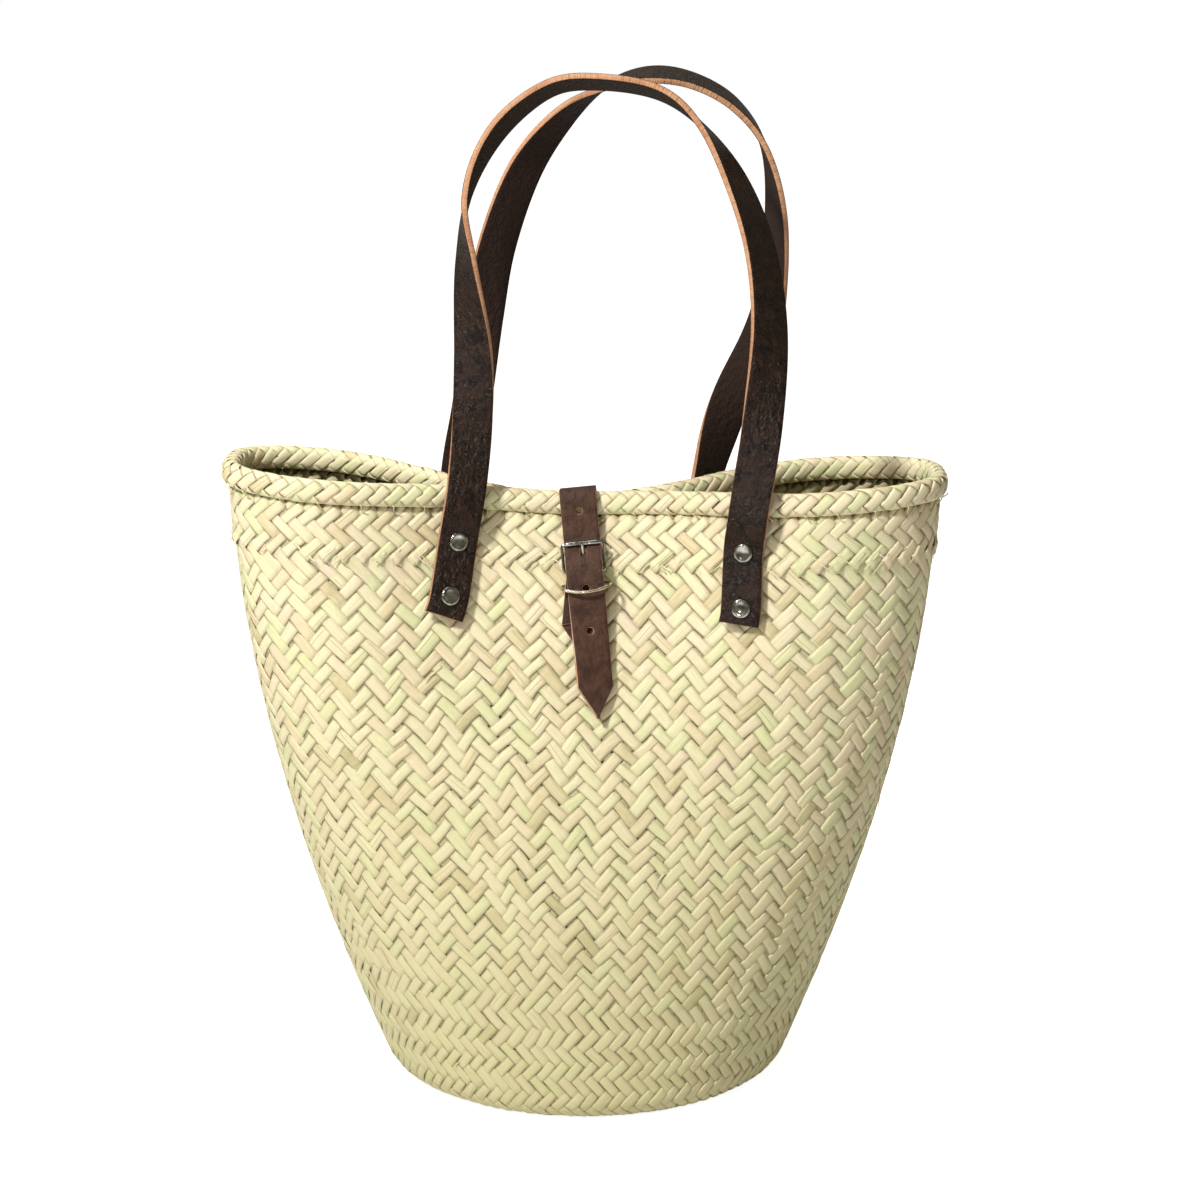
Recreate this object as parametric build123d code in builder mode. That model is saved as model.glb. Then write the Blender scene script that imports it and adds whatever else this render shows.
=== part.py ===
from build123d import *
import math
import os

# Woven palm-leaf market basket with two leather strap handles and a buckled leather closing strap.
# Millimetres. Origin: centre of the base, on the floor. +Z up, front towards -Y, +X to the right.

# ---------------------------------------------------------------- woven body
wall_thickness = 4.5
base_thickness = 5.0
edge_radius = 14.0          # soft bottom edge
profile_top = 400.0         # height at which the wall formulas below end
base_half_width = 133.0
mouth_half_width = 226.0
base_half_depth = 127.0
mouth_half_depth = 72.0
flare_power = 1.8           # how fast the sides run upright
flatten_power = 0.9         # how fast the round base becomes a flat mouth
pinch_start = 110.0         # height from which the closing strap draws the walls together
pinch_end = 372.0
pinch_amount = 0.875
pinch_power = 1.5
pinch_centre = -12.0
pinch_reach = 120.0
pinch_forward = 12.0        # the drawn-in middle also moves this far to the front
outline_points = 48
wall_levels = [0, 2, 6, 14, 50, 90, 130, 170, 210, 250, 290, 325, 350, 375, 400]

# ---------------------------------------------------------------- braided rim
rim_height = 15.0
rim_thickness = 13.0
rim_middle = 375.0          # height of the rim's centreline at the closing strap
rim_end = 389.5             # and at the two ends of the mouth
rim_tilt = -0.018           # the left end sits a little higher than the right
rim_ease = 60.0             # how softly the rim's curve turns in the middle
rim_reach = 240.0
rim_facets = 12
rim_levels = [345, 372, 400]
rim_proud = (rim_thickness - wall_thickness) / 2
stitch_count = 48
stitch_width = 2.0
stitch_proud = 1.0
stitch_length = 9.0
stitch_drop = 4.0
stitch_gap = 1.25
stitch_keep_out = 33.0      # no stitch this close to the middle of a strap

# ---------------------------------------------------------------- leather handles
strap_width = 25.0
strap_thickness = 4.0
wall_gap = 2.6              # between the wall and a strap that lies on it
rim_gap = 2.6               # and what it keeps further from the rim
hinge_height = 389.0
hinge_gap = 1.6
hinge_proud = 1.5           # the folding line lies this far outside the strap's outer face
foot_sections = 9
loop_sections = 36

# Feet as (x, height), from the cut end up to the rim. The depth follows the wall.
front_left_foot = [(-88, 308.5), (-84.5, 320.5), (-79.5, 353), (-77, 367), (-73.5, 388)]
front_right_foot = [(95.5, 306), (97, 316), (98.5, 350), (100, 366), (103, 388)]
back_left_foot = [(-92, 306), (-90.5, 316), (-86, 350), (-83, 367), (-80.5, 388)]
back_right_foot = [(64, 306), (66, 316), (73, 350), (77, 366), (81, 388)]
# Loops as (x, y, z, turn), left to right. Turn 0 shows the broad face, 90 the edge.
front_loop_points = [
    (-70, -34, 425, -6), (-69, -31, 470, 22), (-73, -27, 525, 62), (-72, -24, 568, 96),
    (-53.5, -20.5, 606, 114), (-22, -17.5, 631.5, 112), (9.5, -16.5, 635.5, 110), (46, -18, 629, 106),
    (71, -22, 610, 90), (93, -28, 576, 62), (108, -37, 534, 46), (113.5, -46, 486, 30),
    (109.5, -54, 430, 4)]
back_loop_points = [
    (-73, 19, 425, 0), (-64, 20, 487, 14), (-55, 19.5, 533, 24), (-37, 18.5, 580, 36),
    (-12, 17, 613, 60), (14, 16, 631, 90), (41, 15.5, 638, 104), (68, 16, 634, 103),
    (94, 17.5, 619, 99), (113, 20, 592, 88), (120.5, 23, 550, 66), (118, 27, 500, 46),
    (111, 30, 470, 30), (93, 33, 430, 4)]

rivet_cap_radius = 6.0
rivet_cap_height = 1.8
rivet_post_radius = 2.0
rivet_washer_radius = 5.5
rivet_washer_thickness = 1.0

# ---------------------------------------------------------------- closing strap
closure_width = 23.0
closure_thickness = 3.0
closure_lean = 5.5          # degrees: the strap runs down to the right
heel_height = 333.5         # height of the buckle's heel bar
# Places along the strap are heights above the heel bar.
back_end = -20.0            # the end riveted to the back wall
back_rivet_rise = -8.0
tail_start = -15.0          # the free tail starts here
tail_cut = 0.3              # half the gap between the fixed strap and its tail
tail_tip = -87.0
tail_point_length = 20.0
tail_stations = [(-24, 9.0), (-34, 8.4), (-60, 6.6), (tail_tip, 5.2)]    # height, distance off the wall
bend_radius = 5.0
strap_room = 1.2            # between the strap and the metal or leather next to it
strap_hole_radius = 2.5
spare_holes = [37.5, -8.2]  # in the fixed strap
tail_hole = -34.0           # in the free tail
tunnel_height = 11.5        # the hole that the tongue passes through
tunnel_length = 10.0
tunnel_half_width = 2.6

wire_radius = 1.0
bar_bore_radius = 1.3
frame_half_width = 12.9
frame_height = 18.0
frame_corner = 2.2
frame_back_set = 8.0        # the top bar stands this far behind the strap at the heel
tongue_half_width = 1.1
tongue_half_thickness = 0.9
tongue_eye_wall = 1.5
tongue_slot_room = 1.6
tongue_slot_length = 12.0
ring_half_width = 15.4
ring_corner = 4.0
ring_back_rise = -7.0
ring_front_rise = -9.0
chape_layer = 2.2
chape_gap = 1.6             # between the wall and the chape
chape_fold = 3.4            # top of the fold over the heel bar
chape_joint = -15.0         # below this the two layers lie together
chape_front_end = -29.0
chape_back_end = -44.0
chape_point_start = -30.0
chape_point_length = 16.0
chape_rivet_radius = 3.5
chape_rivet_height = 1.0
chape_rivet_rise = -22.5


# ================================================================ shape formulas
def rise(z):
    return (z - edge_radius) / (profile_top - edge_radius)


def edge_inset(z):
    if z >= edge_radius:
        return 0.0
    return edge_radius - math.sqrt(edge_radius**2 - (edge_radius - z)**2)


def half_width(z):
    spread = mouth_half_width - base_half_width
    return mouth_half_width - spread * (1 - rise(z))**flare_power - edge_inset(z)


def half_depth(z):
    narrowing = base_half_depth - mouth_half_depth
    return base_half_depth - narrowing * max(rise(z), 0)**flatten_power - edge_inset(z)


def squareness(z):
    return 2 + max(rise(z), 0)


def pinch(x, z):
    up = min(max((z - pinch_start) / (pinch_end - pinch_start), 0), 1)
    across = math.exp(-(abs(x - pinch_centre) / pinch_reach)**3)
    return pinch_amount * up**pinch_power * across


def drawn_in(depth, x, z, side):
    """Depth of a wall point once the closing strap has drawn it in. side is -1 at the front."""
    share = pinch(x, z)
    return depth * (1 - share) - side * pinch_forward * share / pinch_amount


def wall_depth(x, z, side):
    """Distance of the wall's outer face from the XZ plane."""
    power = squareness(z)
    full = half_depth(z) * (1 - min(abs(x) / half_width(z), 1)**power)**(1 / power)
    return drawn_in(full, x, z, side)


def outline(z, outward=0.0):
    """Plan of the wall's outer face at height z, moved outward by the given distance."""
    power = 2 / squareness(z)
    points = []
    for i in range(outline_points):
        angle = math.tau * i / outline_points
        x = half_width(z) * math.copysign(abs(math.cos(angle))**power, math.cos(angle))
        y = half_depth(z) * math.copysign(abs(math.sin(angle))**power, math.sin(angle))
        side = math.copysign(1, y)
        points.append((x, side * drawn_in(abs(y), x, z, side)))
    moved = []
    for i, (x, y) in enumerate(points):
        before = points[i - 1]
        after = points[(i + 1) % outline_points]
        run = (after[0] - before[0], after[1] - before[1])
        length = math.hypot(*run)
        moved.append((x + outward * run[1] / length, y - outward * run[0] / length))
    return moved


def rim_centre(x):
    """Height of the rim's centreline at x."""
    share = (math.hypot(x, rim_ease) - rim_ease) / (math.hypot(mouth_half_width, rim_ease) - rim_ease)
    return rim_middle + (rim_end - rim_middle) * share + rim_tilt * x


def rim_edge(shift):
    """Points of the rim's side view, moved up by shift, from left to right."""
    places = [-rim_reach + 2 * rim_reach * i / rim_facets for i in range(rim_facets + 1)]
    return [(x, rim_centre(x) + shift) for x in places]


def smooth_point(points, share):
    """Point of a smooth curve through the points, share running from 0 to 1."""
    place = share * (len(points) - 1)
    first = min(int(place), len(points) - 2)
    t = place - first
    p1, p2 = points[first], points[first + 1]
    p0 = points[first - 1] if first > 0 else [2 * a - b for a, b in zip(p1, p2)]
    p3 = points[first + 2] if first + 2 < len(points) else [2 * b - a for a, b in zip(p1, p2)]
    return [
        b + 0.5 * t * (c - a + t * (2 * a - 5 * b + 4 * c - d + t * (3 * (b - c) + d - a)))
        for a, b, c, d in zip(p0, p1, p2, p3)]


def foot_points(foot, side, hand):
    """A foot's (x, y, z, turn) points: on the wall, then over the rim.
    side is -1 at the front, hand is -1 at the left."""
    points = []
    for x, z in foot:
        over_rim = rim_proud + rim_gap if z > rim_centre(x) - rim_height else 0
        level = min(z, rim_centre(x))
        slope = (wall_depth(x + 1, level, side) - wall_depth(x - 1, level, side)) / 2
        turn = -math.atan(hand * slope)
        away = wall_depth(x, level, side) + (over_rim + wall_gap + strap_thickness / 2) / math.cos(turn)
        points.append((x, side * away, z, math.degrees(turn)))
    return points


def strap_plane(points, share, side):
    """Section plane of a strap: local x across its width, local y out of its grain side."""
    x, y, z, turn = smooth_point(points, share)
    step = 0.002
    ahead = Vector(*smooth_point(points, min(share + step, 1))[:3])
    behind = Vector(*smooth_point(points, max(share - step, 0))[:3])
    along = (ahead - behind).normalized()
    outward = Vector(0, side, 0)
    flat = (outward - along * outward.dot(along)).normalized()
    edge = along.cross(Vector(0, 1, 0)).normalized()
    angle = math.radians(turn)
    grain = (flat * math.cos(angle) + edge * math.sin(angle)).normalized()
    return Plane(origin=(x, y, z), x_dir=grain.cross(along), z_dir=along)


def share_at_height(points, height, start, end):
    """Share at which the strap passes the height, found by halving between start and end."""
    rising = smooth_point(points, end)[2] > smooth_point(points, start)[2]
    for _ in range(40):
        middle = (start + end) / 2
        if (smooth_point(points, middle)[2] < height) == rising:
            start = middle
        else:
            end = middle
    return start


# ================================================================ woven body and rim
with BuildPart() as body_outer:
    for level in wall_levels:
        with BuildSketch(Plane.XY.offset(level)):
            with BuildLine():
                Polyline(*outline(level), close=True)
            make_face()
    loft(ruled=True)

with BuildPart() as body_inner:
    for level in [base_thickness] + wall_levels[3:]:
        with BuildSketch(Plane.XY.offset(level)):
            with BuildLine():
                Polyline(*outline(level, -wall_thickness), close=True)
            make_face()
    loft(ruled=True)

with BuildPart() as above_wall:
    with BuildSketch(Plane.XZ):
        with BuildLine():
            Polyline((-rim_reach, 2 * profile_top), *rim_edge(-rim_height / 2),
                     (rim_reach, 2 * profile_top), close=True)
        make_face()
    extrude(amount=base_half_depth, both=True)

with BuildPart() as rim_band:
    with BuildSketch(Plane.XZ):
        with BuildLine():
            Polyline(*rim_edge(-rim_height / 2), *rim_edge(rim_height / 2)[::-1], close=True)
        make_face()
    extrude(amount=base_half_depth, both=True)


def rim_shell(outward):
    """Solid bounded by the wall's face moved outward, over the heights of the rim."""
    with BuildPart() as shell:
        for level in rim_levels:
            with BuildSketch(Plane.XY.offset(level)):
                with BuildLine():
                    Polyline(*outline(level, outward), close=True)
                make_face()
        loft(ruled=True)
    return shell.part


# ================================================================ leather handles
def strap_piece(points, side, start, end, sections):
    """Strap between two shares of its curve, lofted through rectangular sections."""
    with BuildPart() as piece:
        for i in range(sections):
            share = start + (end - start) * i / (sections - 1)
            with BuildSketch(strap_plane(points, share, side)):
                Rectangle(strap_width, strap_thickness)
        loft()
    return piece.part


def rivet_plane(points, share, side):
    """Plane at a strap's centreline, its normal out of the grain side."""
    section = strap_plane(points, share, side)
    return Plane(origin=section.origin, x_dir=section.x_dir, z_dir=section.y_dir)


def wall_reach(plane):
    """Distance from a strap's centreline in to the wall's inner face."""
    side = math.copysign(1, plane.z_dir.Y)
    away = abs(plane.origin.Y - side * wall_depth(plane.origin.X, plane.origin.Z, side))
    return away + wall_thickness + wall_gap / 2


def rod(plane, radius, start, end):
    """Round rod along a plane's normal, between two heights above it."""
    with BuildPart() as piece:
        with BuildSketch(plane.offset(start)):
            Circle(radius)
        extrude(amount=end - start)
    return piece.part


def cap(plane, lift, radius, height):
    """Low rivet cap with a rounded edge, standing on a face lifted above the plane."""
    with BuildPart() as piece:
        with BuildSketch(plane.offset(lift)):
            Circle(radius)
        extrude(amount=height)
        top = piece.faces().sort_by(Axis(plane.origin, plane.z_dir))[-1]
        fillet(top.edges(), height * 0.7)
    return piece.part


def handle(left_foot, right_foot, loop_points, side):
    """The three lengths of one strap, and the planes of its four rivets."""
    left = foot_points(left_foot, side, -1)
    right = foot_points(right_foot, side, 1)[::-1]
    points = left + loop_points + right
    last = len(points) - 1
    crown = len(points) // 2 / last
    below = hinge_height - hinge_gap
    above = hinge_height + hinge_gap
    cuts = [share_at_height(points, height, start, end)
            for start, end in ((0, crown), (crown, 1)) for height in (below, above)]
    left_foot_piece = strap_piece(points, side, 0, cuts[0], foot_sections)
    loop_piece = strap_piece(points, side, cuts[1], cuts[3], loop_sections)
    right_foot_piece = strap_piece(points, side, cuts[2], 1, foot_sections)
    rivets = [rivet_plane(points, place / last, side) for place in (1, 2, last - 2, last - 1)]
    return left_foot_piece, loop_piece, right_foot_piece, rivets


front_left, front_loop, front_right, front_rivets = handle(
    front_left_foot, front_right_foot, front_loop_points, -1)
back_left, back_loop, back_right, back_rivets = handle(
    back_left_foot, back_right_foot, back_loop_points, 1)
handle_rivets = front_rivets + back_rivets


def foot(name, blank, rivets):
    """A foot with its two rivet holes, and a flat seat for each cap."""
    with BuildPart() as piece:
        add(blank)
        for plane in rivets:
            add(rod(plane, rivet_post_radius, -strap_thickness, strap_thickness), mode=Mode.SUBTRACT)
            add(rod(plane, rivet_cap_radius, strap_thickness / 2, strap_thickness), mode=Mode.SUBTRACT)
    piece.part.label = name
    return piece.part


front_handle_foot_left = foot("front_handle_foot_left", front_left, front_rivets[:2])
front_handle_foot_right = foot("front_handle_foot_right", front_right, front_rivets[2:])
back_handle_foot_left = foot("back_handle_foot_left", back_left, back_rivets[:2])
back_handle_foot_right = foot("back_handle_foot_right", back_right, back_rivets[2:])
front_loop.label = "front_handle_loop"
back_loop.label = "back_handle_loop"

with BuildPart() as handle_rivet_caps:
    for plane in handle_rivets:
        add(cap(plane, strap_thickness / 2, rivet_cap_radius, rivet_cap_height))
handle_rivet_caps.part.label = "handle_rivet_caps"

with BuildPart() as handle_rivet_posts:
    for plane in handle_rivets:
        add(rod(plane, rivet_post_radius, -wall_reach(plane), strap_thickness / 2))
handle_rivet_posts.part.label = "handle_rivet_posts"

with BuildPart() as handle_rivet_washers:
    for plane in handle_rivets:
        reach = wall_reach(plane)
        add(rod(plane, rivet_washer_radius, -reach - rivet_washer_thickness, -reach))
handle_rivet_washers.part.label = "handle_rivet_washers"

# ================================================================ closing strap
# Side view of the closure: local x is world Y, local y runs up the leaning strap,
# measured from the buckle's heel bar.
lean = math.radians(closure_lean)
side_view = Plane(origin=(0, 0, heel_height), x_dir=(0, 1, 0), z_dir=(math.cos(lean), 0, math.sin(lean)))


def wall_line(v):
    """Side view of the front wall's outer face at v above the heel bar."""
    return -wall_depth(0, heel_height + v, -1)


def back_wall_line(v):
    """Side view of the back wall's outer face at v above the heel bar."""
    return wall_depth(0, heel_height + v, 1)


half_strap = closure_thickness / 2
heel_bar = (wall_line(0) - chape_gap - chape_layer - bar_bore_radius, 0)
chape_face = heel_bar[0] - bar_bore_radius - chape_layer
strap_at_heel = chape_face - strap_room - half_strap
top_bar = (strap_at_heel + frame_back_set, frame_height)
ring_back = (wall_line(-10) - chape_gap - chape_layer - bar_bore_radius, ring_back_rise)
ring_face = ring_back[0] - bar_bore_radius - chape_layer
strap_at_ring = ring_face - strap_room - half_strap
strap_at_tail = strap_at_ring - 1.9     # the strap eases outward from the ring to its tail
ring_front = (strap_at_ring - half_strap - strap_room - wire_radius, ring_front_rise)
rim_top = rim_middle + rim_height / 2 - heel_height
rim_back = back_wall_line(rim_middle - heel_height) + rim_proud
rim_front = wall_line(rim_middle - heel_height) - rim_proud
clear = half_strap + wall_gap
over_mouth = [
    (back_wall_line(back_end) + clear, back_end), (back_wall_line(20) + clear, 20),
    (rim_back + clear, rim_top - rim_height), (rim_back + clear, rim_top + clear),
    (rim_front - clear, rim_top + clear), (rim_front - clear, rim_top - rim_height),
    (top_bar[0] + wire_radius + 2 * strap_room + half_strap, frame_height),
    (strap_at_heel, 7), (strap_at_ring, ring_back_rise), (strap_at_tail, tail_start + tail_cut)]
tail_line = [(strap_at_tail, tail_start - tail_cut)]
tail_line += [(wall_line(v) - away, v) for v, away in tail_stations]


def slope_at(line, v):
    """Angle of a wall line to the upright at v."""
    return math.atan((line(v + 5) - line(v - 5)) / 10)


chape_slope = slope_at(wall_line, chape_rivet_rise)
back_slope = -slope_at(back_wall_line, back_rivet_rise)
chape_rivet = Plane(
    origin=side_view.from_local_coords(
        Vector(wall_line(chape_rivet_rise) - chape_gap - 2 * chape_layer, chape_rivet_rise, 0)),
    x_dir=(1, 0, 0), z_dir=(0, -math.cos(chape_slope), math.sin(chape_slope)))
back_rivet = Plane(
    origin=side_view.from_local_coords(
        Vector(back_wall_line(back_rivet_rise) + wall_gap + closure_thickness, back_rivet_rise, 0)),
    x_dir=(1, 0, 0), z_dir=(0, math.cos(back_slope), math.sin(back_slope)))


def strap_along(points):
    """Closing-strap leather along bent lines in the side view."""
    with BuildPart() as piece:
        with BuildLine(side_view) as path:
            FilletPolyline(*points, radius=bend_radius)
        with BuildSketch(Plane(origin=path.line @ 0, x_dir=side_view.z_dir, z_dir=path.line % 0)):
            Rectangle(closure_width, closure_thickness)
        sweep()
    return piece.part


front_view = Plane(
    origin=(0, 0, heel_height), x_dir=(math.cos(lean), 0, math.sin(lean)), z_dir=(0, -1, 0))
cut_plane = front_view.offset(10)     # between the two walls, in front of the back part of the strap
far = 100.0                           # a cut this long passes right through the front

with BuildPart() as closure_strap:
    add(strap_along(over_mouth))
    with BuildSketch(cut_plane):
        with Locations(*[(0, v) for v in spare_holes]):
            Circle(strap_hole_radius)
        with Locations((0, tunnel_height)):
            SlotOverall(tunnel_length, 2 * tunnel_half_width, rotation=90)
    extrude(amount=far, mode=Mode.SUBTRACT)
    add(rod(back_rivet, rivet_post_radius, -2 * closure_thickness, 1), mode=Mode.SUBTRACT)
    add(rod(back_rivet, rivet_cap_radius, 0, closure_thickness), mode=Mode.SUBTRACT)
closure_strap.part.label = "closure_strap"

with BuildPart() as closure_strap_tail:
    add(strap_along(tail_line))
    with BuildSketch(cut_plane):
        with Locations((0, tail_hole)):
            Circle(strap_hole_radius)
        for hand in (-1, 1):
            with BuildLine():
                Polyline((0, tail_tip + 1), (hand * closure_width, tail_tip + 1 + 2 * tail_point_length),
                         (hand * closure_width, tail_tip - closure_width),
                         (0, tail_tip - closure_width), close=True)
            make_face()
    extrude(amount=far, mode=Mode.SUBTRACT)
closure_strap_tail.part.label = "closure_strap_tail"

# Chape: a leather tab folded over the heel bar, with the keeper ring held in the fold.
chape_profile = [
    (wall_line(0) - chape_gap, 2), (heel_bar[0] + 2, chape_fold), (heel_bar[0] - 2, chape_fold),
    (chape_face, 0.5), (ring_face, ring_back_rise),
    (wall_line(chape_joint) - chape_gap - 2 * chape_layer, chape_joint),
    (wall_line(chape_front_end) - chape_gap - 2 * chape_layer, chape_front_end),
    (wall_line(chape_front_end) - chape_gap - chape_layer, chape_front_end),
    (wall_line(chape_back_end) - chape_gap - chape_layer, chape_back_end),
    (wall_line(chape_back_end) - chape_gap, chape_back_end),
    (wall_line(chape_joint) - chape_gap, chape_joint), (wall_line(-8) - chape_gap, -8)]
with BuildPart() as buckle_chape:
    with BuildSketch(side_view):
        with BuildLine():
            Polyline(*chape_profile, close=True)
        make_face()
        with Locations(heel_bar, ring_back):
            Circle(bar_bore_radius, mode=Mode.SUBTRACT)
    extrude(amount=closure_width, both=True)
    with BuildSketch(cut_plane):
        with BuildLine():
            Polyline(
                (-closure_width / 2, 2 * chape_fold), (closure_width / 2, 2 * chape_fold),
                (closure_width / 2, chape_point_start), (0, chape_point_start - chape_point_length),
                (-closure_width / 2, chape_point_start), close=True)
        make_face()
    extrude(amount=far, mode=Mode.INTERSECT)
    with BuildSketch(cut_plane):
        with Locations((0, 2)):
            Rectangle(2 * tongue_half_width + tongue_slot_room, tongue_slot_length)
    extrude(amount=far, mode=Mode.SUBTRACT)
    add(rod(chape_rivet, rivet_post_radius, -3 * chape_layer, chape_layer), mode=Mode.SUBTRACT)
    add(rod(chape_rivet, chape_rivet_radius, 0, chape_layer), mode=Mode.SUBTRACT)
buckle_chape.part.label = "buckle_chape"

with BuildPart() as chape_rivet_cap:
    add(cap(chape_rivet, 0, chape_rivet_radius, chape_rivet_height))
chape_rivet_cap.part.label = "chape_rivet_cap"

with BuildPart() as closure_strap_rivet_cap:
    add(cap(back_rivet, 0, rivet_cap_radius, rivet_cap_height))
closure_strap_rivet_cap.part.label = "closure_strap_rivet_cap"

chape_reach = 2 * chape_layer + chape_gap + wall_thickness + wall_gap
back_reach = closure_thickness + wall_gap + wall_thickness + wall_gap
with BuildPart() as closure_rivet_posts:
    add(rod(chape_rivet, rivet_post_radius, -chape_reach, 0))
    add(rod(back_rivet, rivet_post_radius, -back_reach, 0))
closure_rivet_posts.part.label = "closure_rivet_posts"

with BuildPart() as closure_rivet_washers:
    add(rod(chape_rivet, rivet_washer_radius, -chape_reach - rivet_washer_thickness, -chape_reach))
    add(rod(back_rivet, rivet_washer_radius, -back_reach - rivet_washer_thickness, -back_reach))
closure_rivet_washers.part.label = "closure_rivet_washers"


def wire_loop(back, front, half_width, corner):
    """Round wire bent to a rounded rectangle between two bars seen in the side view."""
    start = side_view.from_local_coords(Vector(back[0], back[1], 0))
    end = side_view.from_local_coords(Vector(front[0], front[1], 0))
    reach = end - start
    depth = reach.length / 2
    plane = Plane(origin=start + reach / 2, x_dir=side_view.z_dir, z_dir=side_view.z_dir.cross(reach))
    with BuildSketch(plane) as bend:
        RectangleRounded(2 * half_width, 2 * depth, corner)
    path = bend.sketch.wire()
    with BuildPart() as piece:
        with BuildSketch(Plane(origin=path @ 0, z_dir=path % 0)):
            Circle(wire_radius)
        sweep(path=path)
    return piece.part


buckle_frame = wire_loop(heel_bar, top_bar, frame_half_width, frame_corner)
buckle_frame.label = "buckle_frame"
keeper_ring = wire_loop(ring_back, ring_front, ring_half_width, ring_corner)
keeper_ring.label = "keeper_ring"

# Tongue: an eye round the heel bar and an arm whose tip rests on the top bar.
tongue_tip = (top_bar[0] - wire_radius - tongue_half_thickness - 0.1, frame_height + tongue_eye_wall)
with BuildPart() as buckle_tongue:
    with BuildSketch(side_view):
        with Locations(heel_bar):
            Circle(wire_radius + tongue_eye_wall)
        with BuildLine():
            Polyline(
                (heel_bar[0] + tongue_half_thickness, tongue_eye_wall),
                (tongue_tip[0] + tongue_half_thickness, tongue_tip[1]),
                (tongue_tip[0] - tongue_half_thickness, tongue_tip[1]),
                (heel_bar[0] - tongue_half_thickness, tongue_eye_wall), close=True)
        make_face()
        with Locations(heel_bar):
            Circle(wire_radius + 0.1, mode=Mode.SUBTRACT)
    extrude(amount=tongue_half_width, both=True)
buckle_tongue.part.label = "buckle_tongue"

# ================================================================ rim and woven body
# The soft rim and wall give way a little where the straps press on them.
pressing = [front_handle_foot_left, front_handle_foot_right, back_handle_foot_left,
            back_handle_foot_right, closure_strap.part]

with BuildPart() as rim_braid:
    add(rim_shell(rim_proud))
    add(rim_band.part, mode=Mode.INTERSECT)
    add(rim_shell(-wall_thickness - rim_proud), mode=Mode.SUBTRACT)
    for strap in pressing:
        add(strap, mode=Mode.SUBTRACT)
rim_braid.part.label = "rim_braid"

with BuildPart() as woven_body:
    add(body_outer.part)
    add(above_wall.part, mode=Mode.SUBTRACT)
    add(body_inner.part, mode=Mode.SUBTRACT)
    add(handle_rivet_posts.part, mode=Mode.SUBTRACT)
    add(closure_rivet_posts.part, mode=Mode.SUBTRACT)
    for strap in pressing:
        add(strap, mode=Mode.SUBTRACT)
woven_body.part.label = "woven_body"

# ================================================================ palm-cord stitches under the rim
strap_places = [(0, -1), (0, 1)]
strap_places += [(foot_line[3][0], -1) for foot_line in (front_left_foot, front_right_foot)]
strap_places += [(foot_line[3][0], 1) for foot_line in (back_left_foot, back_right_foot)]
with BuildPart() as rim_stitching:
    ring = outline(rim_middle, rim_proud + stitch_proud / 2)
    for i in range(stitch_count):
        place = i * outline_points / stitch_count
        first = int(place)
        x0, y0 = ring[first]
        x1, y1 = ring[(first + 1) % outline_points]
        x = x0 + (x1 - x0) * (place - first)
        y = y0 + (y1 - y0) * (place - first)
        if any(abs(x - sx) < stitch_keep_out and y * side > 0 for sx, side in strap_places):
            continue
        run = Vector(x1 - x0, y1 - y0, 0).normalized()
        face_out = Vector(y1 - y0, x0 - x1, 0).normalized()
        centre = Vector(x, y, rim_centre(x) - stitch_drop) + face_out * stitch_gap
        with BuildSketch(Plane(origin=centre, x_dir=run, z_dir=face_out)):
            SlotOverall(stitch_length, stitch_width, rotation=90)
        extrude(amount=stitch_proud / 2, both=True)
rim_stitching.part.label = "rim_stitching"

# ================================================================ files
os.makedirs("parts", exist_ok=True)
pieces = [
    woven_body.part, rim_braid.part, rim_stitching.part,
    front_loop, front_handle_foot_left, front_handle_foot_right,
    back_loop, back_handle_foot_left, back_handle_foot_right,
    handle_rivet_caps.part, handle_rivet_posts.part, handle_rivet_washers.part,
    closure_strap.part, closure_strap_tail.part, closure_strap_rivet_cap.part,
    closure_rivet_posts.part, closure_rivet_washers.part,
    buckle_chape.part, chape_rivet_cap.part, buckle_frame, buckle_tongue.part, keeper_ring]
for piece in pieces:
    export_step(piece, f"parts/{piece.label}.step")
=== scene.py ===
import math
import bpy
import numpy as np
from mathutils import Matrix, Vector


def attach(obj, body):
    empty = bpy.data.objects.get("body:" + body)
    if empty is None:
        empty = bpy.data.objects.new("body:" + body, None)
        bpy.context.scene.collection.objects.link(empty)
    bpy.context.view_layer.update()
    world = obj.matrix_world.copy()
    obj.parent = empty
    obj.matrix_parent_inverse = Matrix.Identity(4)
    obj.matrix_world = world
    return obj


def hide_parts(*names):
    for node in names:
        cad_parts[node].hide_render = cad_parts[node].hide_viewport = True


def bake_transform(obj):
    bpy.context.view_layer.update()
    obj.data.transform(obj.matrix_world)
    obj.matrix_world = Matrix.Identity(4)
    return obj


# Woven palm-leaf market basket with leather handles and a buckled strap over the mouth.
# Lengths here are millimetres and become metres when a mesh is made. The origin is the centre
# of the base, +Z is up and the front faces -Y.
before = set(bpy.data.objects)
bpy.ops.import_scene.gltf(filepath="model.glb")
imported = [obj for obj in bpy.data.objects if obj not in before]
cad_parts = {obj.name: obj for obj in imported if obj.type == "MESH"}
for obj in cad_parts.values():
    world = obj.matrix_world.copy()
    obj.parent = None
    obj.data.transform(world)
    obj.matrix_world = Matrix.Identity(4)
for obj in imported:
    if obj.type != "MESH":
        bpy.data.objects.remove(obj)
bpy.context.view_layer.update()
MM = 0.001
rng = np.random.default_rng(7)


# ======== small helpers
def unit(v):
    return v / np.linalg.norm(v, axis=-1, keepdims=True)


def ease(t):
    """Smooth step from 0 to 1."""
    t = np.clip(t, 0, 1)
    return t * t * (3 - 2 * t)


def run_along(line):
    """Length along a line at each of its points."""
    return np.concatenate([[0], np.cumsum(np.linalg.norm(np.diff(line, axis=0), axis=1))])


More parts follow.
